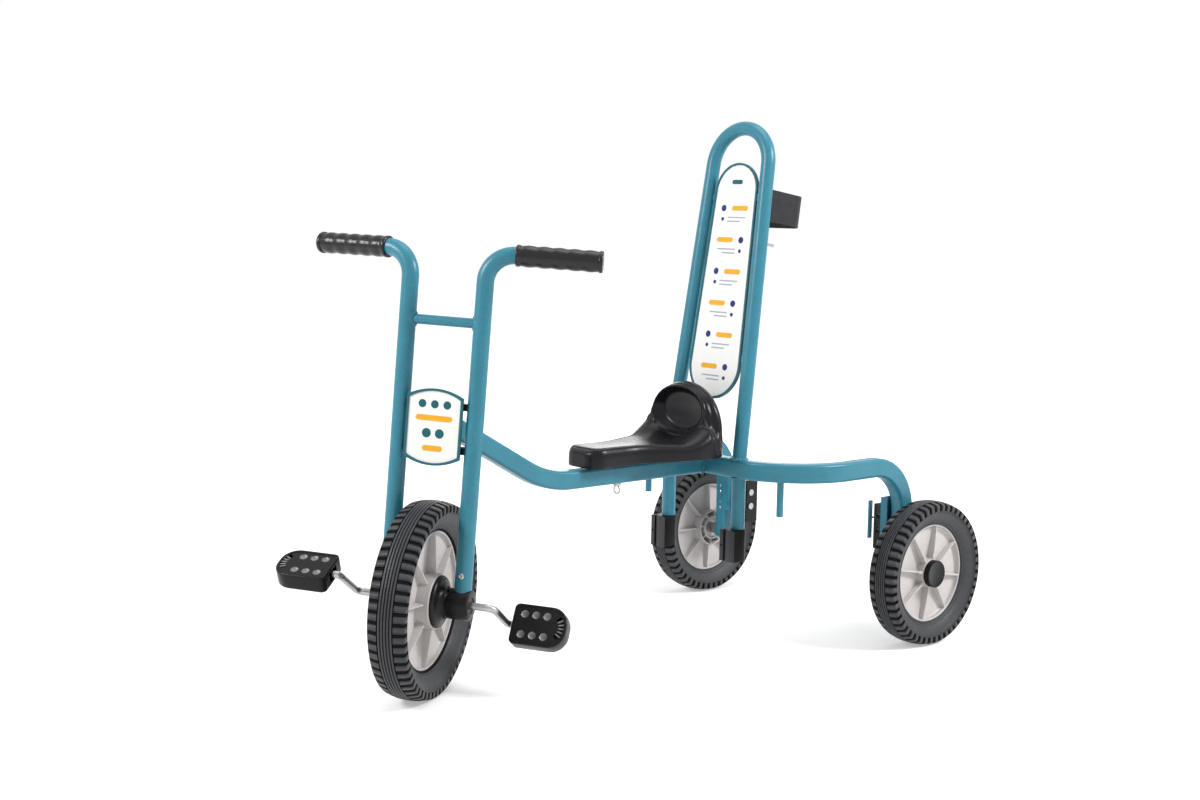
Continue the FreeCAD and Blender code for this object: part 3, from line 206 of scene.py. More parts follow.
def mottle_group():
    """Slow change of shade and fine flecks, as paint, rubber and mouldings have."""
    tree, given, out = group("mottle", [
        ("Color", "NodeSocketColor", (0.5, 0.5, 0.5, 1.0)),
        ("Scale", "NodeSocketFloat", 20.0),
        ("Amount", "NodeSocketFloat", 0.1),
        ("Fleck Scale", "NodeSocketFloat", 400.0),
        ("Fleck Amount", "NodeSocketFloat", 0.1),
    ], [("Color", "NodeSocketColor")])
    link = tree.links.new
    where = node(tree, "ShaderNodeTexCoord")
    total = None
    for scale, amount, detail in (("Scale", "Amount", 5.0), ("Fleck Scale", "Fleck Amount", 2.0)):
        cloud = node(tree, "ShaderNodeTexNoise", {"Detail": detail, "Roughness": 0.62})
        limits = {"From Min": 0.3, "From Max": 0.7, "To Min": -1.0, "To Max": 1.0}
        spread = node(tree, "ShaderNodeMapRange", limits)
        scaled = node(tree, "ShaderNodeMath", operation="MULTIPLY")
        added = node(tree, "ShaderNodeMath", {1: 1.0}, operation="ADD")
        link(where.outputs["Object"], cloud.inputs["Vector"])
        link(given.outputs[scale], cloud.inputs["Scale"])
        link(cloud.outputs["Fac"], spread.inputs["Value"])
        link(spread.outputs["Result"], scaled.inputs[0])
        link(given.outputs[amount], scaled.inputs[1])
        link(scaled.outputs[0], added.inputs[0])
        if total:
            link(total.outputs[0], added.inputs[1])
        total = added
    shade = node(tree, "ShaderNodeVectorMath", operation="SCALE")
    link(given.outputs["Color"], shade.inputs[0])
    link(total.outputs[0], shade.inputs["Scale"])
    link(shade.outputs["Vector"], out.inputs["Color"])
    return tree


def grain_group():
    """Small pits and peel of a coated or moulded skin, as a height from 0 to 1."""
    tree, given, out = group("grain", [
        ("Scale", "NodeSocketFloat", 900.0),
        ("Pits", "NodeSocketFloat", 0.5),
    ], [("Height", "NodeSocketFloat")])
    where = node(tree, "ShaderNodeTexCoord")
    peel = node(tree, "ShaderNodeTexNoise", {"Detail": 3.0})
    pits = node(tree, "ShaderNodeTexVoronoi")
    mix = node(tree, "ShaderNodeMix", data_type="FLOAT")
    link = tree.links.new
    for texture in (peel, pits):
        link(where.outputs["Object"], texture.inputs["Vector"])
        link(given.outputs["Scale"], texture.inputs["Scale"])
    link(given.outputs["Pits"], mix.inputs[0])
    link(peel.outputs["Fac"], mix.inputs[2])
    link(pits.outputs["Distance"], mix.inputs[3])
    link(mix.outputs[0], out.inputs["Height"])
    return tree


def scuff_group():
    """Thin rubbed streaks, 1 where the skin is rubbed."""
    tree, given, out = group("scuff", [
        ("Scale", "NodeSocketFloat", 30.0),
        ("Spread", "NodeSocketFloat", 0.5),
    ], [("Mask", "NodeSocketFloat")])
    where = node(tree, "ShaderNodeTexCoord")
    drawn = node(tree, "ShaderNodeMapping", {"Scale": (1.0, 1.0, 4.0)})
    cloud = node(tree, "ShaderNodeTexNoise", {"Detail": 8.0, "Roughness": 0.7, "Distortion": 0.6})
    cut = node(tree, "ShaderNodeMapRange", {"From Max": 0.78})
    link = tree.links.new
    link(where.outputs["Object"], drawn.inputs["Vector"])
    link(drawn.outputs["Vector"], cloud.inputs["Vector"])
    link(given.outputs["Scale"], cloud.inputs["Scale"])
    link(cloud.outputs["Fac"], cut.inputs["Value"])
    link(given.outputs["Spread"], cut.inputs["From Min"])
    link(cut.outputs["Result"], out.inputs["Mask"])
    return tree


def weave_group():
    """Crossing ribs of a woven band, as a height from 0 to 1."""
    tree, given, out = group("weave", [("Scale", "NodeSocketFloat", 300.0)], [("Height", "NodeSocketFloat")])
    where = node(tree, "ShaderNodeTexCoord")
    cross = node(tree, "ShaderNodeMath", operation="MULTIPLY")
    link = tree.links.new
    for index, direction in enumerate(("X", "Z")):
        wave = node(tree, "ShaderNodeTexWave", {"Distortion": 0.4}, bands_direction=direction)
        link(where.outputs["Object"], wave.inputs["Vector"])
        link(given.outputs["Scale"], wave.inputs["Scale"])
        link(wave.outputs["Fac"], cross.inputs[index])
    link(cross.outputs[0], out.inputs["Height"])
    return tree


MOTTLE = mottle_group()
GRAIN = grain_group()
SCUFF = scuff_group()
WEAVE = weave_group()


def finish_of(name, tint, roughness, mottle=(18.0, 0.06, 500.0, 0.05), grain=(900.0, 0.5, 0.0002),
              scuff=None, weave=None, metallic=0.0, specular=0.5):
    """Material of one finish: shade, peel or pits, and rubbed places that shine differently.

    Mottle holds the scale and amount of the slow change, then of the flecks. Grain holds its scale,
    its share of pits and its depth in metres. Scuff holds its scale, its spread and the roughness of
    a rubbed place. Weave is the scale of a woven pattern that stands in for the grain's own.
    """
    material = bpy.data.materials.new(name)
    material.use_nodes = True
    tree = material.node_tree
    skin = tree.nodes["Principled BSDF"]
    skin.inputs["Metallic"].default_value = metallic
    skin.inputs["Roughness"].default_value = roughness
    skin.inputs["Specular IOR Level"].default_value = specular
    link = tree.links.new
    shade = node(tree, "ShaderNodeGroup", node_tree=MOTTLE)
    shade.inputs["Color"].default_value = tint
    for label, value in zip(("Scale", "Amount", "Fleck Scale", "Fleck Amount"), mottle):
        shade.inputs[label].default_value = value
    link(shade.outputs["Color"], skin.inputs["Base Color"])
    grain_scale, grain_pits, grain_depth = grain
    bumps = node(tree, "ShaderNodeGroup", node_tree=WEAVE if weave else GRAIN)
    bumps.inputs["Scale"].default_value = weave or grain_scale
    if not weave:
        bumps.inputs["Pits"].default_value = grain_pits
    bump = node(tree, "ShaderNodeBump", {"Strength": 1.0, "Distance": grain_depth})
    link(bumps.outputs["Height"], bump.inputs["Height"])
    link(bump.outputs["Normal"], skin.inputs["Normal"])
    if scuff:
        scuff_scale, scuff_spread, rubbed_roughness = scuff
        rubbed = node(tree, "ShaderNodeGroup", node_tree=SCUFF)
        rubbed.inputs["Scale"].default_value = scuff_scale
        rubbed.inputs["Spread"].default_value = scuff_spread
        rough = node(tree, "ShaderNodeMapRange", {"To Min": roughness, "To Max": rubbed_roughness})
        link(rubbed.outputs["Mask"], rough.inputs["Value"])
        link(rough.outputs["Result"], skin.inputs["Roughness"])
    return material


PAINT_SKIN = dict(mottle=(26.0, 0.07, 420.0, 0.10), grain=(1500.0, 0.25, 0.00012), scuff=(22.0, 0.56, 0.42))
FINISHES = {
    "frame_paint": finish_of("frame_paint", colour(52, 125, 145), 0.3, specular=0.35, **PAINT_SKIN),
    "white_board": finish_of("white_board", colour(243, 243, 240), 0.32, (6.0, 0.012, 90.0, 0.008),
                             (700.0, 0.1, 0.00003), specular=0.3),
    "tyre_rubber": finish_of("tyre_rubber", colour(54, 55, 59), 0.42, (40.0, 0.16, 700.0, 0.26),
                             (1300.0, 0.5, 0.0003), (35.0, 0.5, 0.32), specular=0.35),
    "rim_grey": finish_of("rim_grey", colour(194, 189, 187), 0.36, (22.0, 0.05, 260.0, 0.04),
                          (1800.0, 0.4, 0.00008), specular=0.3),
    "black_plastic": finish_of("black_plastic", colour(14, 12, 14), 0.26, (30.0, 0.12, 700.0, 0.2),
                               (1500.0, 0.6, 0.00012), (40.0, 0.55, 0.4), specular=0.2),
    "saddle_black": finish_of("saddle_black", colour(21, 21, 25), 0.26, (14.0, 0.10, 600.0, 0.2),
                              (1900.0, 0.5, 0.00006), (16.0, 0.56, 0.34), specular=0.2),
    "grip_rubber": finish_of("grip_rubber", colour(22, 21, 23), 0.24, (60.0, 0.14, 800.0, 0.24),
                             (1500.0, 0.7, 0.00008), specular=0.35),
    "webbing": finish_of("webbing", colour(66, 66, 68), 0.8, (80.0, 0.12, 700.0, 0.22),
                         (900.0, 0.6, 0.0005), weave=420.0, specular=0.15),
    "bright_steel": finish_of("bright_steel", colour(172, 170, 168), 0.3, (40.0, 0.04, 300.0, 0.03),
                              (600.0, 0.2, 0.00002), (60.0, 0.55, 0.28), metallic=1.0),
    "plain_steel": finish_of("plain_steel", colour(196, 197, 199), 0.26, (80.0, 0.08, 500.0, 0.06),
                             (1500.0, 0.4, 0.00006), metallic=1.0),
}
RIM_PAINT = finish_of("rim_paint", colour(30, 96, 108), 0.3, specular=0.35, **PAINT_SKIN)
# Near-black for the tyre's gaps and the valleys between its ribs: painted shade in the recesses
GROOVE_PAINTED_SHADE = finish_of("groove_painted_shade", colour(20, 20, 22), 0.7, (40.0, 0.16, 700.0, 0.22), specular=0.1)
# Dock shoes: the lighter grey of their front faces is painted light, and the near-black of their other faces
# is painted shade
PAINTED_LIT_FRONT = finish_of("painted_lit_front", colour(52, 51, 54), 0.42, (40.0, 0.1, 700.0, 0.25), specular=0.3)
PAINTED_SHADE_SIDES = finish_of("painted_shade_sides", colour(10, 9, 11), 0.4, (40.0, 0.1, 700.0, 0.2), specular=0.12)
# Lighter grey for the pedal's dishes and slot ribs: a painted sheen that stands in for their glossy
# reflection
STUD_PAINTED_SHEEN = finish_of("stud_painted_sheen", colour(120, 119, 122), 0.28, (60.0, 0.10, 700.0, 0.14),
                        (1500.0, 0.6, 0.0001), specular=0.6)
INKS = {
    "orange": colour(238, 172, 44),
    "navy": colour(44, 48, 116),
    "teal": colour(24, 92, 100),
    "pale": colour(168, 170, 186),
}
PRINT_SKIN = dict(mottle=(60.0, 0.03, 500.0, 0.03), grain=(900.0, 0.2, 0.00002), specular=0.25)
PRINTS = {ink: finish_of("print_" + ink, tint, 0.42, **PRINT_SKIN) for ink, tint in INKS.items()}
for node_name, body_node in frame["nodes"].items():
    slot_name = body_node.data.materials[0].name
    painted_rim = node_name.endswith("_rim") and slot_name == "frame_paint"
    body_node.data.materials[0] = RIM_PAINT if painted_rim else FINISHES[slot_name]


# Making pieces

def as_object(name, bm):
    """Object of a finished bmesh, which is freed."""
    mesh = bpy.data.meshes.new(name)
    bm.to_mesh(mesh)
    bm.free()
    made = bpy.data.objects.new(name, mesh)
    bpy.context.scene.collection.objects.link(made)
    return made


def piece(name, bm, body, slot, *stood_for, angle=38.0, finishes=None):
    """Turns a finished bmesh into a piece that rides on a body and wears a slot's finish."""
    made = as_object(name, bm)
    for finish in finishes or [FINISHES[slot]]:
        made.data.materials.append(finish)
    made.data.shade_smooth()
    made.data.set_sharp_from_angle(angle=math.radians(angle))
    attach(made, body)
    if stood_for:
        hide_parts(*stood_for)


def add_in(bm, other):
    """Joins another bmesh into this one."""
    mesh = bpy.data.meshes.new("joined_in")
    other.to_mesh(mesh)
    other.free()
    bm.from_mesh(mesh)
    bpy.data.meshes.remove(mesh)


def verts_of(made):
    return [item for item in made["geom"] if isinstance(item, bmesh.types.BMVert)]


def full_turn(bm, geom, axis, steps):
    bmesh.ops.spin(
        bm, geom=geom, cent=(0, 0, 0), axis=axis, angle=math.tau, steps=steps, use_merge=True)


def eased(bm, edges, offset, segments, material=-1, clamp=True):
    """Rounds edges off by some millimetres."""
    bmesh.ops.bevel(bm, geom=edges, offset=offset * MM, segments=segments, profile=0.5, affect="EDGES",
                    material=material, clamp_overlap=clamp)


def box_in(bm, spot, x, y, z):
    """Adds a box of the given sides whose middle is at a spot."""
    return bmesh.ops.create_cube(bm, size=1.0, matrix=spot @ stretch(x * MM, y * MM, z * MM))["verts"]


def turned(bm, profile, steps=96, closed=False):
    """Turns (along, radius) points about the X axis."""
    points = [bm.verts.new((along * MM, 0, radius * MM)) for along, radius in profile]
    edges = [bm.edges.new(pair) for pair in zip(points, points[1:])]
    if closed:
        edges.append(bm.edges.new((points[-1], points[0])))
    full_turn(bm, points + edges, X, steps)
    bmesh.ops.remove_doubles(bm, verts=bm.verts, dist=1e-6)
    bmesh.ops.recalc_face_normals(bm, faces=bm.faces)


def turned_piece(name, profile, place, body, slot, *stood_for, steps=96, closed=False, angle=38.0):
    bm = bmesh.new()
    turned(bm, profile, steps, closed)
    bmesh.ops.transform(bm, matrix=place, verts=bm.verts)
    piece(name, bm, body, slot, *stood_for, angle=angle)


def raised_plan(bm, outline, low, high, place=Matrix()):
    """Closed solid from an outline of (x, y) points, between two heights."""
    ring = [bm.verts.new((x * MM, y * MM, low * MM)) for x, y in outline]
    floor = bm.faces.new(ring)
    top = verts_of(bmesh.ops.extrude_face_region(bm, geom=[floor], use_keep_orig=True))
    bmesh.ops.translate(bm, vec=(0, 0, (high - low) * MM), verts=top)
    bmesh.ops.transform(bm, matrix=place, verts=ring + top)
    bmesh.ops.recalc_face_normals(bm, faces=bm.faces)


def carved(block, cutter, voxel=None):
    """Takes one bmesh out of another; a voxel size also fuses and evens the result."""
    block = as_object("carving_block", block)
    cutter = as_object("carving_cutter", cutter)
    carve = block.modifiers.new("carve", "BOOLEAN")
    carve.operation = "DIFFERENCE"
    carve.solver = "EXACT"
    carve.object = cutter
    if voxel:
        even = block.modifiers.new("even", "REMESH")
        even.mode = "VOXEL"
        even.voxel_size = voxel * MM
    bpy.context.view_layer.update()
    result = bpy.data.meshes.new_from_object(block.evaluated_get(bpy.context.evaluated_depsgraph_get()))
    for spare in (block, cutter):
        bpy.data.meshes.remove(spare.data)
    bm = bmesh.new()
    bm.from_mesh(result)
    bpy.data.meshes.remove(result)
    return bm


def bent_rod(bm, frames, radius, segments=24):
    """Round rod whose sections stand at the given frames, across their X axes; ends are closed."""
    ring = bmesh.ops.create_circle(bm, cap_ends=True, segments=segments, radius=radius * MM)["verts"]
    bmesh.ops.transform(bm, matrix=frames[0] @ about("Y", 90), verts=ring)
    cap = ring[0].link_faces[0]
    for before, after in zip(frames, frames[1:]):
        made = bmesh.ops.extrude_face_region(bm, geom=[cap])["geom"]
        cap = next(item for item in made if isinstance(item, bmesh.types.BMFace))
        bmesh.ops.transform(bm, matrix=after @ before.inverted(), verts=cap.verts)
    bmesh.ops.recalc_face_normals(bm, faces=bm.faces)


# Weld beads

RIPPLE = 0.35
RIPPLES_PER_METRE = 700
RING_LAPS = 14
LINE_LAP = 3.0
# Radius and width of the beads that go round a tube, then width of the straight ones
HOOP_BEAD, DOCK_BEAD, PEG_BEAD, CROSSBAR_BEAD = (13.8, 2.6), (12.9, 1.8), (6.4, 1.4), (9.2, 3.2)
SIDE_BEAD, UNDER_BEAD = 2.8, 1.8


def ring_bead(bm, place, radius, width, wrap=None):
    """Rippled weld bead round the Z axis; wrap bends it down round a tube that lies along Y."""
    fresh = bmesh.ops.create_circle(bm, segments=10, radius=width * MM)["verts"]
    bmesh.ops.transform(bm, matrix=at(radius, 0, 0) @ about("X", 90), verts=fresh)
    edges = list({edge for vert in fresh for edge in vert.link_edges})
    before = set(bm.verts) - set(fresh)
    full_turn(bm, fresh + edges, Z, 72)
    made = [vert for vert in bm.verts if vert not in before]
    for vert in made:
        lap = 0.22 * width * math.sin(math.atan2(vert.co.y, vert.co.x) * RING_LAPS) * MM
        ripple = noise.noise(vert.co * RIPPLES_PER_METRE) * RIPPLE * MM
        vert.co += Vector((vert.co.x, vert.co.y, 0)).normalized() * (lap + ripple)
        if wrap:
            sag = wrap - math.sqrt(max(wrap ** 2 - (vert.co.x / MM) ** 2, 0))
            vert.co.z -= sag * MM
    bmesh.ops.transform(bm, matrix=place, verts=made)


def line_bead(bm, start, end, width):
    """Rippled weld bead along a straight joint between two places in the room."""
    start, end = Vector(start), Vector(end)
    length = (end - start).length
    axis = (end - start).normalized()
    foot = upright(end - start, start, X if abs(axis.z) > 0.9 else Z)
    steps = max(int(length / MM / 1.2), 4)
    frames = [foot @ Matrix.Translation((length * step / steps, 0, 0)) for step in range(steps + 1)]
    before = set(bm.verts)
    bent_rod(bm, frames, width, 12)
    for vert in [vert for vert in bm.verts if vert not in before]:
        along = (vert.co - start).dot(axis)
        middle = start + axis * along
        taper = min(along, length - along) / (width * MM)
        size = math.sqrt(max(1 - max(1 - taper, 0) ** 2, 0.05))
        swell = 1 + 0.14 * math.sin(along / MM * math.tau / LINE_LAP)
        vert.co = middle + (vert.co - middle) * size * swell


# Tyres

# A block and the gap beside it are some equal columns of the turned skin, and the gap is one of them
COLUMNS = 3
# How deep a gap is under the tread, and how far it cuts into the shoulder from the side
GAP_DEPTH, GAP_CUT = 5.0, 4.2
# Rings on a sidewall: share of the way from the shoulder to the bead, and swell
SIDEWALL = (
    (0.0, 0.0), (0.06, 0.1), (0.09, 0.7), (0.12, 0.7), (0.15, 0.1), (0.4, 0.9), (0.66, 0.9), (0.74, 0.5),
    (0.77, 1.1), (0.81, 1.1), (0.84, 0.4), (0.93, 0.3), (0.95, 1.3), (0.99, 1.3), (1.0, 0.0),
)


def wheel_spot(spot):
    """Millimetres from a wheel's middle plane and from its axle, and the turn round the axle."""
    turn = math.atan2(spot.y, spot.z) % math.tau
    return abs(spot.x) / MM, math.hypot(spot.y, spot.z) / MM, turn


def tyre(name, body, place, stood_for, radius, half, drop, rim_radius, bead_half, blocks, band):
    """Fine ribs round the middle of the tread, and square blocks that wrap over both shoulders.

    Half is half of the tyre's width, drop the fall of the tread to its shoulders, blocks the number
    of blocks on a shoulder, and band half of the width of the ribs.
    """
    shoulder = radius - drop
    block_edge, block_corner, block_foot = band + 1.1, half - 2.6, shoulder - 11.0

    def crown(x):
        return radius - drop * (x / half) ** 2

    ribs_line = [(0.0, crown(0))]
    for valley in (band * 0.2, band * 0.6):
        ribs_line += [(valley - 1.15, crown(valley)), (valley - 0.55, crown(valley) - 1.8),
                      (valley + 0.55, crown(valley) - 1.8), (valley + 1.15, crown(valley))]
    ribs_line += [(band - 0.9, crown(band)), (band - 0.3, crown(band) - 2.6), (band + 0.6, crown(band) - 2.6)]
    blocks_line = [(block_edge, crown(band))]
    for share in (0.33, 0.66, 1.0):
        x = blend(block_edge, block_corner, share)
        blocks_line.append((x, crown(x)))
    blocks_line += [(half - 0.8, shoulder - 0.4), (half - 0.1, shoulder - 1.8), (half, shoulder - 6.0),
                    (half - 0.1, block_foot)]
    low = (half - 2.4, shoulder - 12.0)
    bead = (bead_half + 1.2, rim_radius + 1.2)
    wall = [(blend(low[0], bead[0], share) + swell, blend(low[1], bead[1], share))
            for share, swell in SIDEWALL]
    section = ribs_line + blocks_line + wall + [(bead_half, rim_radius)]

    bm = bmesh.new()
    turned(bm, [(-x, r) for x, r in reversed(section[1:])] + section, blocks * COLUMNS)
    column = math.tau / (blocks * COLUMNS)
    gaps = []
    for face in bm.faces:
        across, reach, turn = wheel_spot(face.calc_center_median())
        if int(turn / column) % COLUMNS == 0 and across > block_edge and reach > block_foot:
            gaps.append(face)
    outer = set(bm.faces) - set(gaps)
    for vert in verts_of(bmesh.ops.extrude_face_region(bm, geom=gaps)):
        across, reach, _ = wheel_spot(vert.co)
        over = part_way(across, block_corner, half)
        down = part_way(shoulder - reach, 0, 9.0)
        vert.co.x -= math.copysign(GAP_CUT * over * MM, vert.co.x)
        scale = (reach - GAP_DEPTH * (1 - 0.75 * down * over)) / reach
        vert.co.y *= scale
        vert.co.z *= scale
    # Gap faces and the valleys between the middle ribs wear the near-black painted shade
    for face in bm.faces:
        across, reach, _ = wheel_spot(face.calc_center_median())
        if face not in outer or (across < band + 1 and reach < crown(across) - 1.0):
            face.material_index = 1
    block_edges = [
        edge for edge in bm.edges
        if len(edge.link_faces) == 2 and sum(face in outer for face in edge.link_faces) == 1
    ]
    eased(bm, block_edges, 0.45, 1, material=0)
    bmesh.ops.recalc_face_normals(bm, faces=bm.faces)
    bmesh.ops.transform(bm, matrix=place, verts=bm.verts)
    piece(name, bm, body, "tyre_rubber", stood_for, angle=24,
          finishes=[FINISHES["tyre_rubber"], GROOVE_PAINTED_SHADE])


# Rims and hubs

RIBS = 8
# Thickness of a rib at the web and at its edges
RIB_ROOT, RIB_TIP = 5.4, 2.7
# Half of the web's thickness at the rim and at the hub
WEB_RIM, WEB_HUB = 3.2, 1.0
COLLAR_RADIUS = 36.0
COLLAR_REACH = 24.0
# Walls between the pockets of a collar: thickness, height, radius of the middle, and turn in degrees
POCKET_WALL, POCKET_HEIGHT, POCKET_RADIUS, POCKET_TURN = 2.0, 10.4, 29.0, 10.0
# How far each rear rim is turned as the vehicle stands, in degrees
RIM_TURNS = {"left": -10.0, "right": 0.0}


def ribs(bm, inner, outer, inner_top, outer_top):
    """Tapered ribs that stand on both faces of a wheel's disc, from one radius to another."""
    bmesh.ops.create_cube(bm, size=1.0)
    across = [edge for edge in bm.edges if abs(edge.verts[0].co.x - edge.verts[1].co.x) > 0.5]
    bmesh.ops.subdivide_edges(bm, edges=across, cuts=1)
    for vert in bm.verts:
        far = vert.co.z > 0
        wide = RIB_ROOT if abs(vert.co.x) < 0.1 else RIB_TIP
        top = outer_top if far else inner_top
        vert.co = Vector((vert.co.x * 2 * top, vert.co.y * wide, outer if far else inner)) * MM
    lids = [
        edge for edge in bm.edges
        if abs(edge.verts[0].co.z - edge.verts[1].co.z) > 5 * MM and min(abs(v.co.x) for v in edge.verts) > MM
    ]
    eased(bm, lids, 0.6, 2, clamp=False)
    bmesh.ops.spin(bm, geom=bm.verts[:] + bm.edges[:] + bm.faces[:], cent=(0, 0, 0), axis=X,
                   angle=math.tau * (RIBS - 1) / RIBS, steps=RIBS - 1, use_duplicate=True)


def collar_parts(bm, boss, rib_top, collar):
    """Inner ends of the ribs, on the outer face only, and the walls between the collar's pockets."""
    inner = boss - 1.5
    rib_middle = at(rib_top / 2, 0, (inner + COLLAR_RADIUS) / 2)
    wall_middle = at(-(collar + WEB_RIM) / 2, 0, POCKET_RADIUS)
    for index in range(RIBS):
        turn = about("X", index * 360 / RIBS)
        box_in(bm, turn @ rib_middle, rib_top, RIB_ROOT, COLLAR_RADIUS - inner)
    for index in range(RIBS):
        turn = about("X", index * 360 / RIBS + POCKET_TURN)
        box_in(bm, turn @ wall_middle, collar - WEB_RIM, POCKET_WALL, POCKET_HEIGHT)


def rim(name, body, place, stood_for, radius, half, lip, boss, boss_half, rib_top, bore, collar=0.0):
    """Moulded disc: rolled lip, web that falls away towards the hub, tall ribs and a boss."""
    outer_face = [
        (half - 1.2, radius), (half, radius - 1.0), (half, radius - lip + 1.0), (half - 0.8, radius - lip),
        (WEB_RIM + 1.6, radius - lip - 1.2), (WEB_RIM, radius - lip - 3.2), (WEB_HUB, boss + 3.0),
        (WEB_HUB + 0.8, boss + 0.8), (boss_half - 0.8, boss), (boss_half, boss - 1.0), (boss_half, bore),
    ]
    inner_face = outer_face
    if collar:
        # The inner side of a rear wheel has a tall collar with a ring of pockets between two walls
        inner_face = outer_face[:6] + [
            (WEB_HUB, 38.6), (WEB_HUB + 0.8, 36.8), (collar - 0.6, COLLAR_RADIUS), (collar, 35.4),
            (collar, 34.0), (collar - 0.6, 33.4), (WEB_RIM + 1.0, 33.2), (WEB_RIM + 1.0, 24.6),
            (collar - 0.6, 24.2), (collar, 23.6), (collar, 21.6), (collar - 9.0, 21.0), (collar - 9.0, bore),
        ]
    bm = bmesh.new()
    ribs(bm, (COLLAR_RADIUS if collar else boss) - 1.5, radius - lip + 0.5, rib_top, half - 0.6)
    disc = bmesh.new()
    turned(disc, outer_face + [(-x, r) for x, r in reversed(inner_face)], closed=True)
    add_in(bm, disc)
    if collar:
        collar_parts(bm, boss, rib_top, collar)
    bmesh.ops.recalc_face_normals(bm, faces=bm.faces)
    bmesh.ops.transform(bm, matrix=place, verts=bm.verts)
    piece(name, bm, body, "rim_grey", stood_for, angle=30)


def front_wheel():
    tyre("front_tread", "front_wheel", STEERING, "front_tyre", radius=160.0, half=31.3, drop=5.6,
         rim_radius=112.3, bead_half=10.5, blocks=60, band=12.6)
    rim("front_disc", "front_wheel", STEERING, "front_rim", radius=112.3, half=10.5, lip=3.6, boss=44.6,
        boss_half=23.6, rib_top=16.0, bore=20.0)
    bell = [
        (23.0, 20.0), (23.0, 41.0), (23.8, 41.9), (26.0, 42.0), (28.6, 40.4), (30.2, 37.6), (31.4, 34.0),
        (33.0, 30.0), (35.6, 26.6), (38.8, 24.9), (42.2, 24.6), (43.0, 23.8), (43.0, 6.3),
    ]
    turned_piece("front_hub_bell", bell + [(-x, r) for x, r in reversed(bell)], STEERING, "front_wheel",
                 "black_plastic", "front_hub", closed=True)


def rear_wheel(side):
    body, place = "rear_wheel_" + side, REAR[side]
    tyre("rear_tread_" + side, body, place, "rear_tyre_" + side, radius=132.3, half=27.75, drop=4.6,
         rim_radius=90.0, bead_half=12.0, blocks=50, band=11.2)
    rim("rear_disc_" + side, body, place @ about("X", RIM_TURNS[side]), "rear_rim_" + side, radius=90.0,
        half=12.0, lip=3.2, boss=26.5, boss_half=14.9, rib_top=14.4, bore=6.2, collar=COLLAR_REACH)
    cap = [
        (15.0, 0.0), (15.0, 24.2), (15.6, 25.0), (25.2, 25.0), (26.3, 24.2), (26.5, 22.8), (25.9, 21.5),
        (25.9, 0.0),
    ]
    turned_piece("rear_cap_disc_" + side, cap, place, body, "black_plastic", "rear_cap_" + side)


# Steering

GRIP_LOBES = 5
LOBE_STEPS = 8


def grip_section():
    """Section of a grip: collar at its foot, soft lobes for the fingers, and a round flanged end."""
    section = [(45.5, 14.05), (45.5, 16.6), (46.5, 17.5), (51.0, 17.5), (52.5, 16.5), (54.0, 16.0)]
    for index in range(1, GRIP_LOBES * LOBE_STEPS + 1):
        share = index / (GRIP_LOBES * LOBE_STEPS)
        swell = math.sin(share * GRIP_LOBES * math.pi) ** 2
        section.append((blend(54.0, 174.0, share), 16.1 + 1.35 * swell ** 0.75))
    return section + [
        (175.4, 15.9), (176.2, 17.2), (177.0, 17.5), (180.4, 17.5), (181.8, 16.8), (182.2, 15.4),
        (181.6, 13.0), (181.4, 0.0),
    ]


def fork_side(side):
    """Axle housing, grip and clamp screw on one leg of the fork."""
    sign = SIDES[side]
    housing = [
        (43.6, 6.4), (43.6, 23.6), (44.4, 24.5), (76.6, 24.5), (78.0, 23.9), (78.8, 22.4), (78.8, 13.5),
        (77.6, 12.6), (77.6, 6.4),
    ]
    place = STEERING @ about("Z", 0 if sign > 0 else 180)
    turned_piece("housing_sleeve_" + side, housing, place, "steering", "black_plastic",
                 "axle_housing_" + side, closed=True)
    turned_piece("grip_sleeve_" + side, grip_section(), handle_place(side), "steering", "grip_rubber",
                 "grip_" + side, steps=64, angle=60)
    screw = STEERING @ at(sign * FORK_SPACING / 2, -LEG_RADIUS + 0.4, 47.0) @ about("Z", -90)
    head = [(-1, 0), (-1, 5.0), (0.9, 5.0), (1.9, 4.2), (2.3, 2.8), (1.4, 2.2), (0.9, 0.0)]
    turned_piece("leg_screw_" + side, head, screw, "steering", "bright_steel", steps=32)


def crossbar_welds():
    bm = bmesh.new()
    for sign in SIDES.values():
        inner = STEERING @ at(sign * (FORK_SPACING / 2 - LEG_RADIUS + 1.2), 0, CROSSBAR_HEIGHT)
        ring_bead(bm, inner @ about("Y", -90 * sign) @ about("Z", 90), *CROSSBAR_BEAD, wrap=LEG_RADIUS)
    bmesh.ops.recalc_face_normals(bm, faces=bm.faces)
    piece("crossbar_welds", bm, "steering", "frame_paint", angle=80)


def badge_bridges():
    """Bars that carry the badge, with their ends coped behind the round legs."""
    back = STEERING.inverted()
    for name in ("upper", "lower"):
        spots = [back @ vert.co / MM for vert in frame["nodes"]["bridge_" + name].data.vertices]
        low, high = min(spot.z for spot in spots), max(spot.z for spot in spots)
        rear = max(spot.y for spot in spots)
        right_half = [(46, -13.4), (48, -9.6), (53, -9.6), (53, rear)]
        plan = [(-46, -13.4)] + right_half + [(-x, y) for x, y in reversed(right_half[1:])]
        bm = bmesh.new()
        raised_plan(bm, plan, low, high, STEERING)
        piece("badge_bridge_" + name, bm, "steering", "black_plastic", "bridge_" + name, angle=30)


# Crank

CRANK_RADIUS = 6.0
ARM_X = 117.0
SPINDLE_END = 205.4
INNER_BEND, OUTER_BEND = 13.0, 9.0
BEND_STEPS = 8


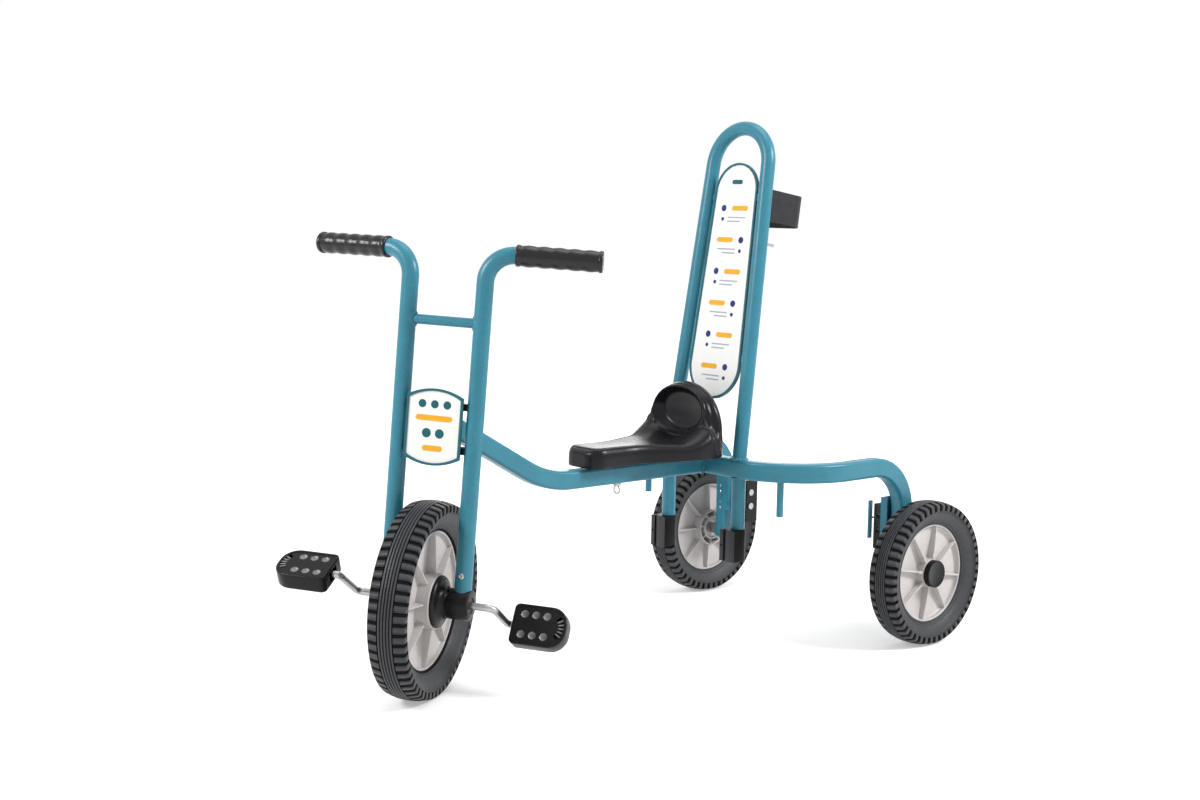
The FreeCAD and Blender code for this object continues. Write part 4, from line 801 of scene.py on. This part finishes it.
def crank():
    """One bent rod with square-set cranks and close bends, from pedal to pedal."""
    place, throw = crank_place()
    near = [at(0, 0, 0), at(ARM_X - INNER_BEND, 0, 0)]
    for step in range(1, BEND_STEPS + 1):
        turn = math.radians(step * 90 / BEND_STEPS)
        along, rise = INNER_BEND * math.sin(turn), INNER_BEND * math.cos(turn)
        near.append(at(ARM_X - INNER_BEND + along, 0, INNER_BEND - rise) @ about("Y", -math.degrees(turn)))
    for step in range(BEND_STEPS + 1):
        turn = math.radians(step * 90 / BEND_STEPS)
        along, rise = OUTER_BEND * math.cos(turn), OUTER_BEND * math.sin(turn)
        spot = at(ARM_X + OUTER_BEND - along, 0, throw - OUTER_BEND + rise)
        near.append(spot @ about("Y", -90 + math.degrees(turn)))
    near.append(at(SPINDLE_END, 0, throw))
    bm = bmesh.new()
    for half in (Matrix(), about("Y", 180)):
        bent_rod(bm, [place @ half @ spot for spot in near], CRANK_RADIUS)
    middle = [face for face in bm.faces if len(face.verts) > 4 and
              (face.calc_center_median() - place.translation).length < 0.5 * MM]
    bmesh.ops.delete(bm, geom=middle, context="FACES")
    bmesh.ops.remove_doubles(bm, verts=bm.verts, dist=1e-5)
    bmesh.ops.recalc_face_normals(bm, faces=bm.faces)
    piece("crank_rod", bm, "front_wheel", "bright_steel", "crank_axle", angle=50)


# Pedals

PEDAL_LENGTH, PEDAL_WIDTH, PEDAL_THICK = 46.0, 34.0, 14.0
FIELD_DEPTH = 1.1
FIELD_LEVEL = PEDAL_THICK - FIELD_DEPTH
DISH_SPOTS = [(column * 19.0 - 8.0, row * 17.0) for column in (-1, 0, 1) for row in (-1, 1)]
DISH_RADIUS = 6.4
DISH_BALL = 8.4
DISH_LEVEL = FIELD_LEVEL + math.sqrt(DISH_BALL ** 2 - DISH_RADIUS ** 2)
DISH_MIDDLES = [Vector((x, y, level)) for x, y in DISH_SPOTS for level in (DISH_LEVEL, -DISH_LEVEL)]
# The curved slot goes round a spot at SLOT_X; its ribs stand at these degrees and at this reach
SLOT_X, SLOT_OUTER, SLOT_INNER, SLOT_DEPTH = 14.0, 28.0, 18.5, 8.5
SLOT_RIBS = (-30, -15, 0, 15, 30)
SLOT_RIB_REACH, SLOT_RIB_DEPTH = 23.2, 4.6
SLOT_RIB_SIZE = (10.4, 2.2, 6.4)


def rounded_plan(half_length, half_width, inner_corner, outer_corner):
    """Outline with small corners at its inner end and large ones at its outer end."""
    corners = [(-1, -1, inner_corner), (1, -1, outer_corner), (1, 1, outer_corner), (-1, 1, inner_corner)]
    outline = []
    for index, (across, up, corner) in enumerate(corners):
        for step in range(9):
            turn = math.radians(180 + index * 90 + step * 90 / 8)
            outline.append((across * (half_length - corner) + corner * math.cos(turn),
                            up * (half_width - corner) + corner * math.sin(turn)))
    return outline


def pedal_blank():
    """Round-edged block with a field sunk into each of its two faces."""
    bm = bmesh.new()
    raised_plan(bm, rounded_plan(PEDAL_LENGTH, PEDAL_WIDTH, 9.0, 28.0), -PEDAL_THICK, PEDAL_THICK)
    flat = [face for face in bm.faces if abs(face.normal.z) > 0.9]
    eased(bm, list({edge for face in flat for edge in face.edges}), 2.6, 4)
    for face in [face for face in bm.faces if abs(face.normal.z) > 0.99 and len(face.verts) > 8]:
        bmesh.ops.inset_region(bm, faces=[face], thickness=2.0 * MM, depth=0.0)
        bmesh.ops.inset_region(bm, faces=[face], thickness=0.7 * MM, depth=-FIELD_DEPTH * MM)
    return bm


def pedal_hollows():
    """What the mould leaves out: dishes and a curved slot in each face, and a notch at the inner end."""
    cut = bmesh.new()
    for up in (-1, 1):
        for x, y in DISH_SPOTS:
            bmesh.ops.create_uvsphere(cut, u_segments=28, v_segments=18, radius=DISH_BALL * MM,
                                      matrix=at(x, y, up * DISH_LEVEL))
        arc = []
        for radius, sweep in ((SLOT_OUTER, range(-45, 46, 9)), (SLOT_INNER, range(45, -46, -9))):
            for degrees in sweep:
                turn = math.radians(degrees)
                arc.append((SLOT_X + radius * math.cos(turn), radius * math.sin(turn)))
        raised_plan(cut, arc, *sorted((up * (PEDAL_THICK - SLOT_DEPTH), up * (PEDAL_THICK + 2))))
    box_in(cut, at(-PEDAL_LENGTH + 4, 0, 0), 12, 26, 18)
    bmesh.ops.recalc_face_normals(cut, faces=cut.faces)
    return cut


def in_a_dish(spot):
    """True for a spot, in the pedal's frame and in millimetres, on the skin of a dish."""
    sunk = abs(spot.z) < FIELD_LEVEL - 0.1
    return sunk and any(abs((spot - middle).length - DISH_BALL) < 0.35 for middle in DISH_MIDDLES)


def pedal(side):
    """Hollow moulded pedal with two rows of dished studs and a curved slot crossed by small ribs."""
    bm = carved(pedal_blank(), pedal_hollows())
    # Dish faces and the slot's ribs wear the lighter grey painted sheen
    for face in bm.faces:
        if in_a_dish(face.calc_center_median() / MM):
            face.material_index = 1
    for up in (-1, 1):
        for degrees in SLOT_RIBS:
            spot = at(SLOT_X, 0, up * (PEDAL_THICK - SLOT_RIB_DEPTH)) @ about("Z", degrees)
            rib = box_in(bm, spot @ at(SLOT_RIB_REACH, 0, 0), *SLOT_RIB_SIZE)
            for face in {face for vert in rib for face in vert.link_faces}:
                face.material_index = 1
    bmesh.ops.transform(bm, matrix=pedal_place(side), verts=bm.verts)
    piece("pedal_shell_" + side, bm, "pedal_" + side, "black_plastic", "pedal_" + side, angle=30,
          finishes=[FINISHES["black_plastic"], STUD_PAINTED_SHEEN])


# Saddle; along is millimetres back from the nose, heights are above the main beam

SADDLE_LENGTH = 288.0
NOSE_HALF, NOSE_CORNER = 43, 26
BACK_HALF, BACK_CORNER = 92, 50
BACK_START = SADDLE_LENGTH - BACK_CORNER
FLARE_START, FLARE_END = 75, 235
SKIRT_FRONT, SKIRT_BACK = 2.5, 8.5
SEAT_HEIGHT = 37.5
ARCH_START = 235.0
CREST_START = 258.0
BOWL_CENTRE = Vector((0.0, 221.0, 86.5))
BOWL_HALVES = Vector((67.0, 34.0, 45.5))
BOWL_POWER = 2.15
LINE_DEPTH, LINE_WIDTH = 1.4, 1.5
# Grooves over the arched back: along, width, depth
ARCH_GROOVES = ((247.0, 3.0, 1.9), (263.0, 3.4, 2.2))
SADDLE_VOXEL = 1.5
SADDLE_SMOOTHING = 7


def saddle_half_width(along):
    """Half of the plan's width: rounded nose, smooth flare and a wide back with large corners."""
    if along < NOSE_CORNER:
        corner = math.sqrt(max(NOSE_CORNER ** 2 - (NOSE_CORNER - along) ** 2, 0))
        return NOSE_HALF - NOSE_CORNER + corner
    if along > BACK_START:
        corner = math.sqrt(max(BACK_CORNER ** 2 - (along - BACK_START) ** 2, 0))
        return BACK_HALF - BACK_CORNER + corner
    flare = (1 - math.cos(math.pi * part_way(along, FLARE_START, FLARE_END))) / 2
    return blend(NOSE_HALF, BACK_HALF, flare)


def saddle_skirt(along):
    """Height of the skirt's lower edge, which hides the beam's top from the side."""
    return blend(SKIRT_FRONT, SKIRT_BACK, along / SADDLE_LENGTH)


def seat_rim(along):
    """Height of the seat's rim: a low nose, level seat, and a sweep up into the arch."""
    return SEAT_HEIGHT + 34 * part_way(along, 178, 240) ** 1.7 - 9 * (1 - part_way(along, 0, 20)) ** 2


def seat_inset(along):
    """How far inside the flank the seat's rim lies."""
    wide = saddle_half_width(along)
    return min(9, wide / 2) + 21 * part_way(along, 110, ARCH_START) ** 1.2


def seat_line(along):
    """Near half of a section of the nose and seat: skirt, round shoulder, rim and shallow dish."""
    wide, low, top = saddle_half_width(along), saddle_skirt(along), seat_rim(along)
    floor = min(top, 37.0) - 2.5 * part_way(along, 40, 120) + 8.0 * part_way(along, 170, 250) ** 1.5
    inset = seat_inset(along)
    shoulder = (low + top) / 2
    line = [(wide, blend(low, shoulder, step / 4)) for step in range(5)]
    for step in range(1, 13):
        turn = math.pi / 2 * step / 12
        line.append((wide - inset * (1 - math.cos(turn)), blend(shoulder, top, math.sin(turn))))
    for step in range(1, 13):
        inward = step / 12
        line.append(((wide - inset) * (1 - inward), top - (top - floor) * math.sin(math.pi / 2 * inward)))
    return line


def arch_line(along):
    """Near half of a section of the arched back: leaning flank, then a quarter of an ellipse."""
    wide, low = saddle_half_width(along), saddle_skirt(along)
    ahead = part_way(along, ARCH_START, CREST_START)
    behind = part_way(along, CREST_START, SADDLE_LENGTH)
    reach = blend(66, wide - 2, ahead)
    if behind > 0:
        centre, flank = blend(55, 43, behind), blend(40, 32, behind)
        crest = blend(85, 137, math.sqrt(1 - behind ** 2))
    else:
        centre, flank = blend(80, 55, ahead), blend(33, 40, ahead)
        crest = blend(131, 137, math.sin(math.pi / 2 * ahead))
    line = [(wide, blend(low, flank, step / 4)) for step in range(5)]
    for step in range(1, 5):
        share = step / 4
        line.append((blend(wide, reach, (1 - math.cos(math.pi * share)) / 2), blend(flank, centre, share)))
    for step in range(1, 21):
        turn = math.pi / 2 * step / 20
        line.append((reach * math.cos(turn), blend(centre, crest, math.sin(turn))))
    return line


def seat_line_depth(across, along):
    """Depth of the fine line that follows the seat's rim on its inner side."""
    edge = saddle_half_width(along) - across
    if along < 60:
        corner = Vector((across - (NOSE_HALF - NOSE_CORNER), NOSE_CORNER - along))
        edge = NOSE_CORNER - corner.length if min(corner) > 0 else min(NOSE_HALF - across, along)
    off = edge - seat_inset(max(along, NOSE_CORNER)) - 1.2
    return LINE_DEPTH * math.exp(-(off / LINE_WIDTH) ** 2) * (1 - part_way(along, 220, 232))


def bowl_line_depth(spot):
    """Depth of the fine line round the bowl in the arched back."""
    offset = spot - BOWL_CENTRE
    share = sum(abs(o / h) ** BOWL_POWER for o, h in zip(offset, BOWL_HALVES)) ** (1 / BOWL_POWER)
    off = offset.length * (1 - 1 / max(share, 0.01)) - 7.0
    fade = part_way(spot.y, 222, 232) * part_way(spot.z, 50, 66)
    return LINE_DEPTH * math.exp(-(off / LINE_WIDTH) ** 2) * fade


def saddle_relief(spot):
    """How far the skin is sunk: a line inside the rim, one round the bowl and two over the arch."""
    across, along, height = abs(spot.x), spot.y, spot.z
    sunk = 0.0
    if along < 232 and height > seat_rim(along) - 12:
        sunk += seat_line_depth(across, along)
    if along > 222:
        sunk += bowl_line_depth(spot)
    flank = math.sin(math.pi * part_way(height, 18, 134)) ** 0.5
    for valley, width, depth in ARCH_GROOVES:
        sunk += depth * math.exp(-((along - valley) / width) ** 2) * flank
    return sunk


def saddle_block():
    """Solid body of the saddle before its bowl is cut, with the foot that sits on the beam."""
    bm = bmesh.new()
    sections = [(231 * (step / 30) ** 1.5, seat_line) for step in range(31)]
    sections += [(blend(ARCH_START, CREST_START, step / 8), arch_line) for step in range(8)]
    sections += [(blend(CREST_START, SADDLE_LENGTH, math.sin(math.pi / 2 * step / 14)), arch_line)
                 for step in range(15)]
    loops = []
    for along, line in sections:
        near = line(along)
        whole = near + [(-x, z) for x, z in reversed(near[:-1])]
        ring = [bm.verts.new((x, along, z)) for x, z in whole]
        loops.append([bm.edges.new(pair) for pair in zip(ring, ring[1:] + ring[:1])])
    for one, other in zip(loops, loops[1:]):
        bmesh.ops.bridge_loops(bm, edges=one + other)
    for end in (loops[0], loops[-1]):
        bmesh.ops.holes_fill(bm, edges=end, sides=0)
    foot = Matrix.Translation((0, 130, 9.6)) @ stretch(28, 190, 19.2)
    bmesh.ops.create_cube(bm, size=1.0, matrix=foot)
    bmesh.ops.recalc_face_normals(bm, faces=bm.faces)
    bmesh.ops.scale(bm, vec=(MM, MM, MM), verts=bm.verts)
    return bm


def saddle_bowl():
    """Squarish ball that scoops out the bowl."""
    cut = bmesh.new()
    bmesh.ops.create_uvsphere(cut, u_segments=96, v_segments=64, radius=1.0)
    for vert in cut.verts:
        vert.co /= sum(abs(part) ** BOWL_POWER for part in vert.co) ** (1 / BOWL_POWER)
    place = Matrix.Translation(BOWL_CENTRE * MM) @ stretch(*(BOWL_HALVES * MM))
    bmesh.ops.transform(cut, matrix=place, verts=cut.verts)
    return cut


def saddle():
    """Moulded shell: flat narrow nose, rolled rim with a line inside it, deep bowl and arched back."""
    bm = carved(saddle_block(), saddle_bowl(), voxel=SADDLE_VOXEL)
    for _ in range(SADDLE_SMOOTHING):
        bmesh.ops.smooth_vert(
            bm, verts=bm.verts, factor=0.5, use_axis_x=True, use_axis_y=True, use_axis_z=True)
    bm.normal_update()
    moves = [(vert, vert.normal * saddle_relief(vert.co / MM) * MM) for vert in bm.verts]
    for vert, move in moves:
        vert.co -= move
    bmesh.ops.transform(bm, matrix=Matrix.Translation((0, saddle_low.y, saddle_low.z)), verts=bm.verts)
    piece("saddle_shell", bm, "frame", "saddle_black", "saddle", angle=180)


# Dock shoes, welds and the small parts of the rear frame

SHOE_RADIUS = 14.5
SHOE_FRONT = [
    (-SHOE_RADIUS, 0), (-18.5, -27), (-9.6, -27), (-8.4, -22.6), (-4.2, -22.6), (-3.0, -27), (18.5, -27),
    (SHOE_RADIUS, 0),
]
SHOE_HOLE = 1.9
RIVET = [(-0.8, 0), (-0.8, 3.2), (0.3, 3.2), (1.1, 2.3), (1.4, 0.0)]
RIVET_MARK = [(-0.8, 0), (-0.8, 1.2), (0.3, 1.2), (0.7, 0.7), (0.8, 0.0)]
RIVET_HEIGHTS = (214.0, 181.0)
MARK_RISE, MARK_STRETCH = 12.0, 2.3
# How far the drop leg's front is ahead of the axle, and how far a knob is under its bracket's top
LEG_FRONT, KNOB_DROP = 17.0, 12.0


def dock_shoes():
    """Moulded shoes on the hanging tubes: a narrow clip wall beside the main wall, round behind."""
    low, high = block_low.z / MM, block_high.z / MM
    arc = [math.pi * step / 16 for step in range(1, 16)]
    plan = SHOE_FRONT + [(SHOE_RADIUS * math.cos(turn), SHOE_RADIUS * math.sin(turn)) for turn in arc]
    for side, sign in SIDES.items():
        bm = bmesh.new()
        raised_plan(bm, plan, low, high)
        eased(bm, [edge for edge in bm.edges if edge.calc_face_angle() > math.radians(35)], 0.9, 2)
        hole = bmesh.new()
        spot = at(-13.6, -27, (low + high) / 2) @ about("X", 90)
        bmesh.ops.create_cone(hole, cap_ends=True, segments=24, radius1=SHOE_HOLE * MM,
                              radius2=SHOE_HOLE * MM, depth=9 * MM, matrix=spot)
        bm = carved(bm, hole)
        # Faces that do not look forward take the near-black painted shade; the front faces keep the lighter
        # painted light
        for face in bm.faces:
            if face.normal.y > -0.5:
                face.material_index = 1
        bmesh.ops.transform(bm, matrix=Matrix.Translation((sign * DOCK_X, CROSS_Y, 0)), verts=bm.verts)
        piece("dock_shoe_" + side, bm, "frame", "black_plastic", "dock_block_" + side, angle=30,
              finishes=[PAINTED_LIT_FRONT, PAINTED_SHADE_SIDES])


def frame_welds():
    """Beads round the hoop's feet, dock tubes and pegs, and where the main beam meets the cross tube."""
    bm = bmesh.new()
    half = BEAM_HALF * MM
    joint_y = CROSS_Y - half
    for side, sign in SIDES.items():
        foot = Matrix.Translation((sign * DOCK_X, CROSS_Y, cross_top))
        ring_bead(bm, foot @ about("X", -HOOP_LEAN / 2), *HOOP_BEAD)
        ring_bead(bm, Matrix.Translation((sign * DOCK_X, CROSS_Y, beam_underside)), *DOCK_BEAD)
        peg_low, peg_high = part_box("beam_peg_" + side)
        middle = (peg_low + peg_high) / 2
        ring_bead(bm, Matrix.Translation((middle.x, middle.y, beam_underside)), *PEG_BEAD)
        bead_low = (sign * half, joint_y, beam_underside + 1 * MM)
        bead_high = (sign * half, joint_y, beam_underside + 31 * MM)
        line_bead(bm, bead_low, bead_high, SIDE_BEAD)
    line_bead(bm, (-13 * MM, joint_y, beam_underside), (13 * MM, joint_y, beam_underside), UNDER_BEAD)
    bmesh.ops.recalc_face_normals(bm, faces=bm.faces)
    piece("frame_welds", bm, "frame", "frame_paint", angle=80)


def leg_rivets(side):
    """Two bright rivets on the front of a drop leg, each with a slim mark over it."""
    axle = Vector(JOINTS["rear_wheel_spin_" + side]["pos_m"]) / MM
    bm = bmesh.new()
    for height in RIVET_HEIGHTS:
        for profile, rise, tall in ((RIVET_MARK, MARK_RISE, MARK_STRETCH), (RIVET, 0.0, 1.0)):
            made = bmesh.new()
            turned(made, profile, 24)
            spot = at(SIDES[side] * DROP_LEG_X, axle.y - LEG_FRONT, height + rise)
            bmesh.ops.transform(made, matrix=spot @ about("Z", -90) @ stretch(1, 1, tall), verts=made.verts)
            add_in(bm, made)
    piece("leg_rivets_" + side, bm, "frame", "bright_steel", angle=40)


def bracket_knob(side):
    """Bright knob near the top of a rear bracket's inner wall."""
    bracket_low, bracket_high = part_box("wheel_bracket_" + side)
    inner = bracket_low.x if SIDES[side] > 0 else bracket_high.x
    spot = Vector((inner, (bracket_low.y + bracket_high.y) / 2, bracket_high.z - KNOB_DROP * MM))
    knob = [(-3.0, 0), (-3.0, 4.4), (3.2, 4.4), (3.8, 6.2), (6.6, 6.2), (7.4, 5.4), (7.4, 0.0)]
    place = Matrix.Translation(spot) @ about("Z", 180 if SIDES[side] > 0 else 0)
    turned_piece("bracket_knob_" + side, knob, place, "frame", "bright_steel", steps=40)


# Printed marks on the badge and the panel: plain bars and dots

PRINT_GAP, PRINT_THICK = 0.05, 0.25


def marks(name, body, place, ink, shapes):
    """Thin rounded bars in the XZ plane that face -Y; each is (x, z, width, height)."""
    bm = bmesh.new()
    for x, z, width, height in shapes:
        small = min(width, height) / 2
        outline = []
        for index, (right, top) in enumerate(((1, 1), (-1, 1), (-1, -1), (1, -1))):
            for step in range(7):
                turn = math.radians(index * 90 + step * 15)
                outline.append((x + right * (width / 2 - small) + small * math.cos(turn),
                                z + top * (height / 2 - small) + small * math.sin(turn)))
        raised_plan(bm, outline, 0.0, PRINT_THICK, place @ about("X", 90))
    bmesh.ops.remove_doubles(bm, verts=bm.verts, dist=1e-6)
    piece(name, bm, body, "white_board", finishes=[PRINTS[ink]])


def badge_print():
    """Plain rows of bars and dots on the badge."""
    place = STEERING @ at(0, front_face("badge_plate", STEERING) + PRINT_GAP, BADGE_HEIGHT)
    bars = [(0, 14, 62, 9), (0, -34, 34, 9)]
    dots = [(-21, 36, 13, 13), (0, 36, 13, 13), (21, 36, 13, 13), (-11, -10, 15, 15), (11, -10, 15, 15)]
    marks("badge_bars", "steering", place, "orange", bars)
    marks("badge_dots", "steering", place, "teal", dots)


def panel_print():
    """Plain rows on the panel, each a bar, two dots and two fine lines, turned about from row to row."""
    place = HOOP @ at(0, front_face("panel_board", HOOP) + PRINT_GAP, 0)
    bars, dots, lines = [], [], []
    for row in range(6):
        height = 160 + row * 58
        flip = 1 if row % 2 else -1
        bars.append((flip * 14, height, 40, 9))
        dots += [(-flip * 26, height, 12, 12), (-flip * 26, height - 20, 7, 7)]
        lines += [(flip * 8, height - 17, 44, 2.4), (flip * 2, height - 24, 32, 2.4)]
    marks("panel_bars", "frame", place, "orange", bars)
    marks("panel_dots", "frame", place, "navy", dots)
    marks("panel_lines", "frame", place, "pale", lines)
    marks("panel_crest", "frame", place, "teal", [(0, 498, 26, 8)])


# Room and light

WHITE = (1, 1, 1, 1)
PAPER = (0.86, 0.86, 0.86, 1.0)
FLOOR_HALF = 12.0
WORLD_LIGHT = 0.42
# Each lamp: place, aim, width in metres and power in watts
LAMPS = {
    "right_softbox": ((2.3, 1.5, 2.2), (0, 0, 0.4), 0.8, 84.0),
    "left_softbox": ((-0.8, -2.6, 1.9), (0, 0, 0.4), 0.8, 58.0),
    "top_softbox": ((0.1, 0.3, 3.2), (0, 0, 0.3), 1.8, 26.0),
    "rear_softbox": ((-2.2, 2.0, 0.75), (0, 0, 0.38), 1.2, 8.0),
}


def lit_by_view(tree, low, high):
    """A value that is low for the light itself and high where the camera or a reflection looks."""
    seen = node(tree, "ShaderNodeLightPath")
    either = node(tree, "ShaderNodeMath", operation="MAXIMUM")
    any_of = node(tree, "ShaderNodeMath", operation="MAXIMUM")
    level = node(tree, "ShaderNodeMapRange", {"To Min": low, "To Max": high})
    link = tree.links.new
    link(seen.outputs["Is Camera Ray"], either.inputs[0])
    link(seen.outputs["Is Glossy Ray"], either.inputs[1])
    link(either.outputs[0], any_of.inputs[0])
    link(seen.outputs["Is Transmission Ray"], any_of.inputs[1])
    link(any_of.outputs[0], level.inputs["Value"])
    return level


def paper_floor():
    """White paper whose own lift grows away from the middle, where the lamps fade."""
    bm = bmesh.new()
    bmesh.ops.create_grid(bm, x_segments=1, y_segments=1, size=FLOOR_HALF)
    floor = as_object("floor", bm)
    paper = bpy.data.materials.new("paper_floor")
    paper.use_nodes = True
    tree = paper.node_tree
    skin = tree.nodes["Principled BSDF"]
    skin.inputs["Base Color"].default_value = PAPER
    skin.inputs["Roughness"].default_value = 0.9
    skin.inputs["Specular IOR Level"].default_value = 0.1
    skin.inputs["Emission Color"].default_value = WHITE
    where = node(tree, "ShaderNodeTexCoord")
    length = node(tree, "ShaderNodeVectorMath", operation="LENGTH")
    limits = {"From Min": 0.7, "From Max": 2.6, "To Min": 0.36, "To Max": 0.75}
    fade = node(tree, "ShaderNodeMapRange", limits)
    lift = node(tree, "ShaderNodeMath", operation="MULTIPLY")
    level = lit_by_view(tree, 0.0, 1.0)
    link = tree.links.new
    link(where.outputs["Object"], length.inputs[0])
    link(length.outputs["Value"], fade.inputs["Value"])
    link(fade.outputs["Result"], lift.inputs[0])
    link(level.outputs["Result"], lift.inputs[1])
    link(lift.outputs[0], skin.inputs["Emission Strength"])
    floor.data.materials.append(paper)


def pale_world():
    """Even pale light, and plain white where the camera or a reflection looks."""
    world = bpy.data.worlds.new("studio")
    bpy.context.scene.world = world
    world.use_nodes = True
    back = world.node_tree.nodes["Background"]
    back.inputs["Color"].default_value = WHITE
    level = lit_by_view(world.node_tree, WORLD_LIGHT, 1.0)
    world.node_tree.links.new(level.outputs["Result"], back.inputs["Strength"])


def softboxes():
    for name, (spot, aim, size, power) in LAMPS.items():
        data = bpy.data.lights.new(name, "AREA")
        data.shape = "SQUARE"
        data.size = size
        data.energy = power
        lamp = bpy.data.objects.new(name, data)
        toward = Vector(aim) - Vector(spot)
        lamp.matrix_world = Matrix.Translation(spot) @ toward.to_track_quat("-Z", "Y").to_matrix().to_4x4()
        lamp.visible_camera = False
        bpy.context.scene.collection.objects.link(lamp)


bpy.context.scene.view_settings.view_transform = "Standard"
camera()
paper_floor()
pale_world()
softboxes()
front_wheel()
for side in SIDES:
    rear_wheel(side)
for side in SIDES:
    fork_side(side)
crossbar_welds()
crank()
for side in SIDES:
    pedal(side)
saddle()
dock_shoes()
frame_welds()
for side in SIDES:
    leg_rivets(side)
    bracket_knob(side)
badge_bridges()
badge_print()
panel_print()
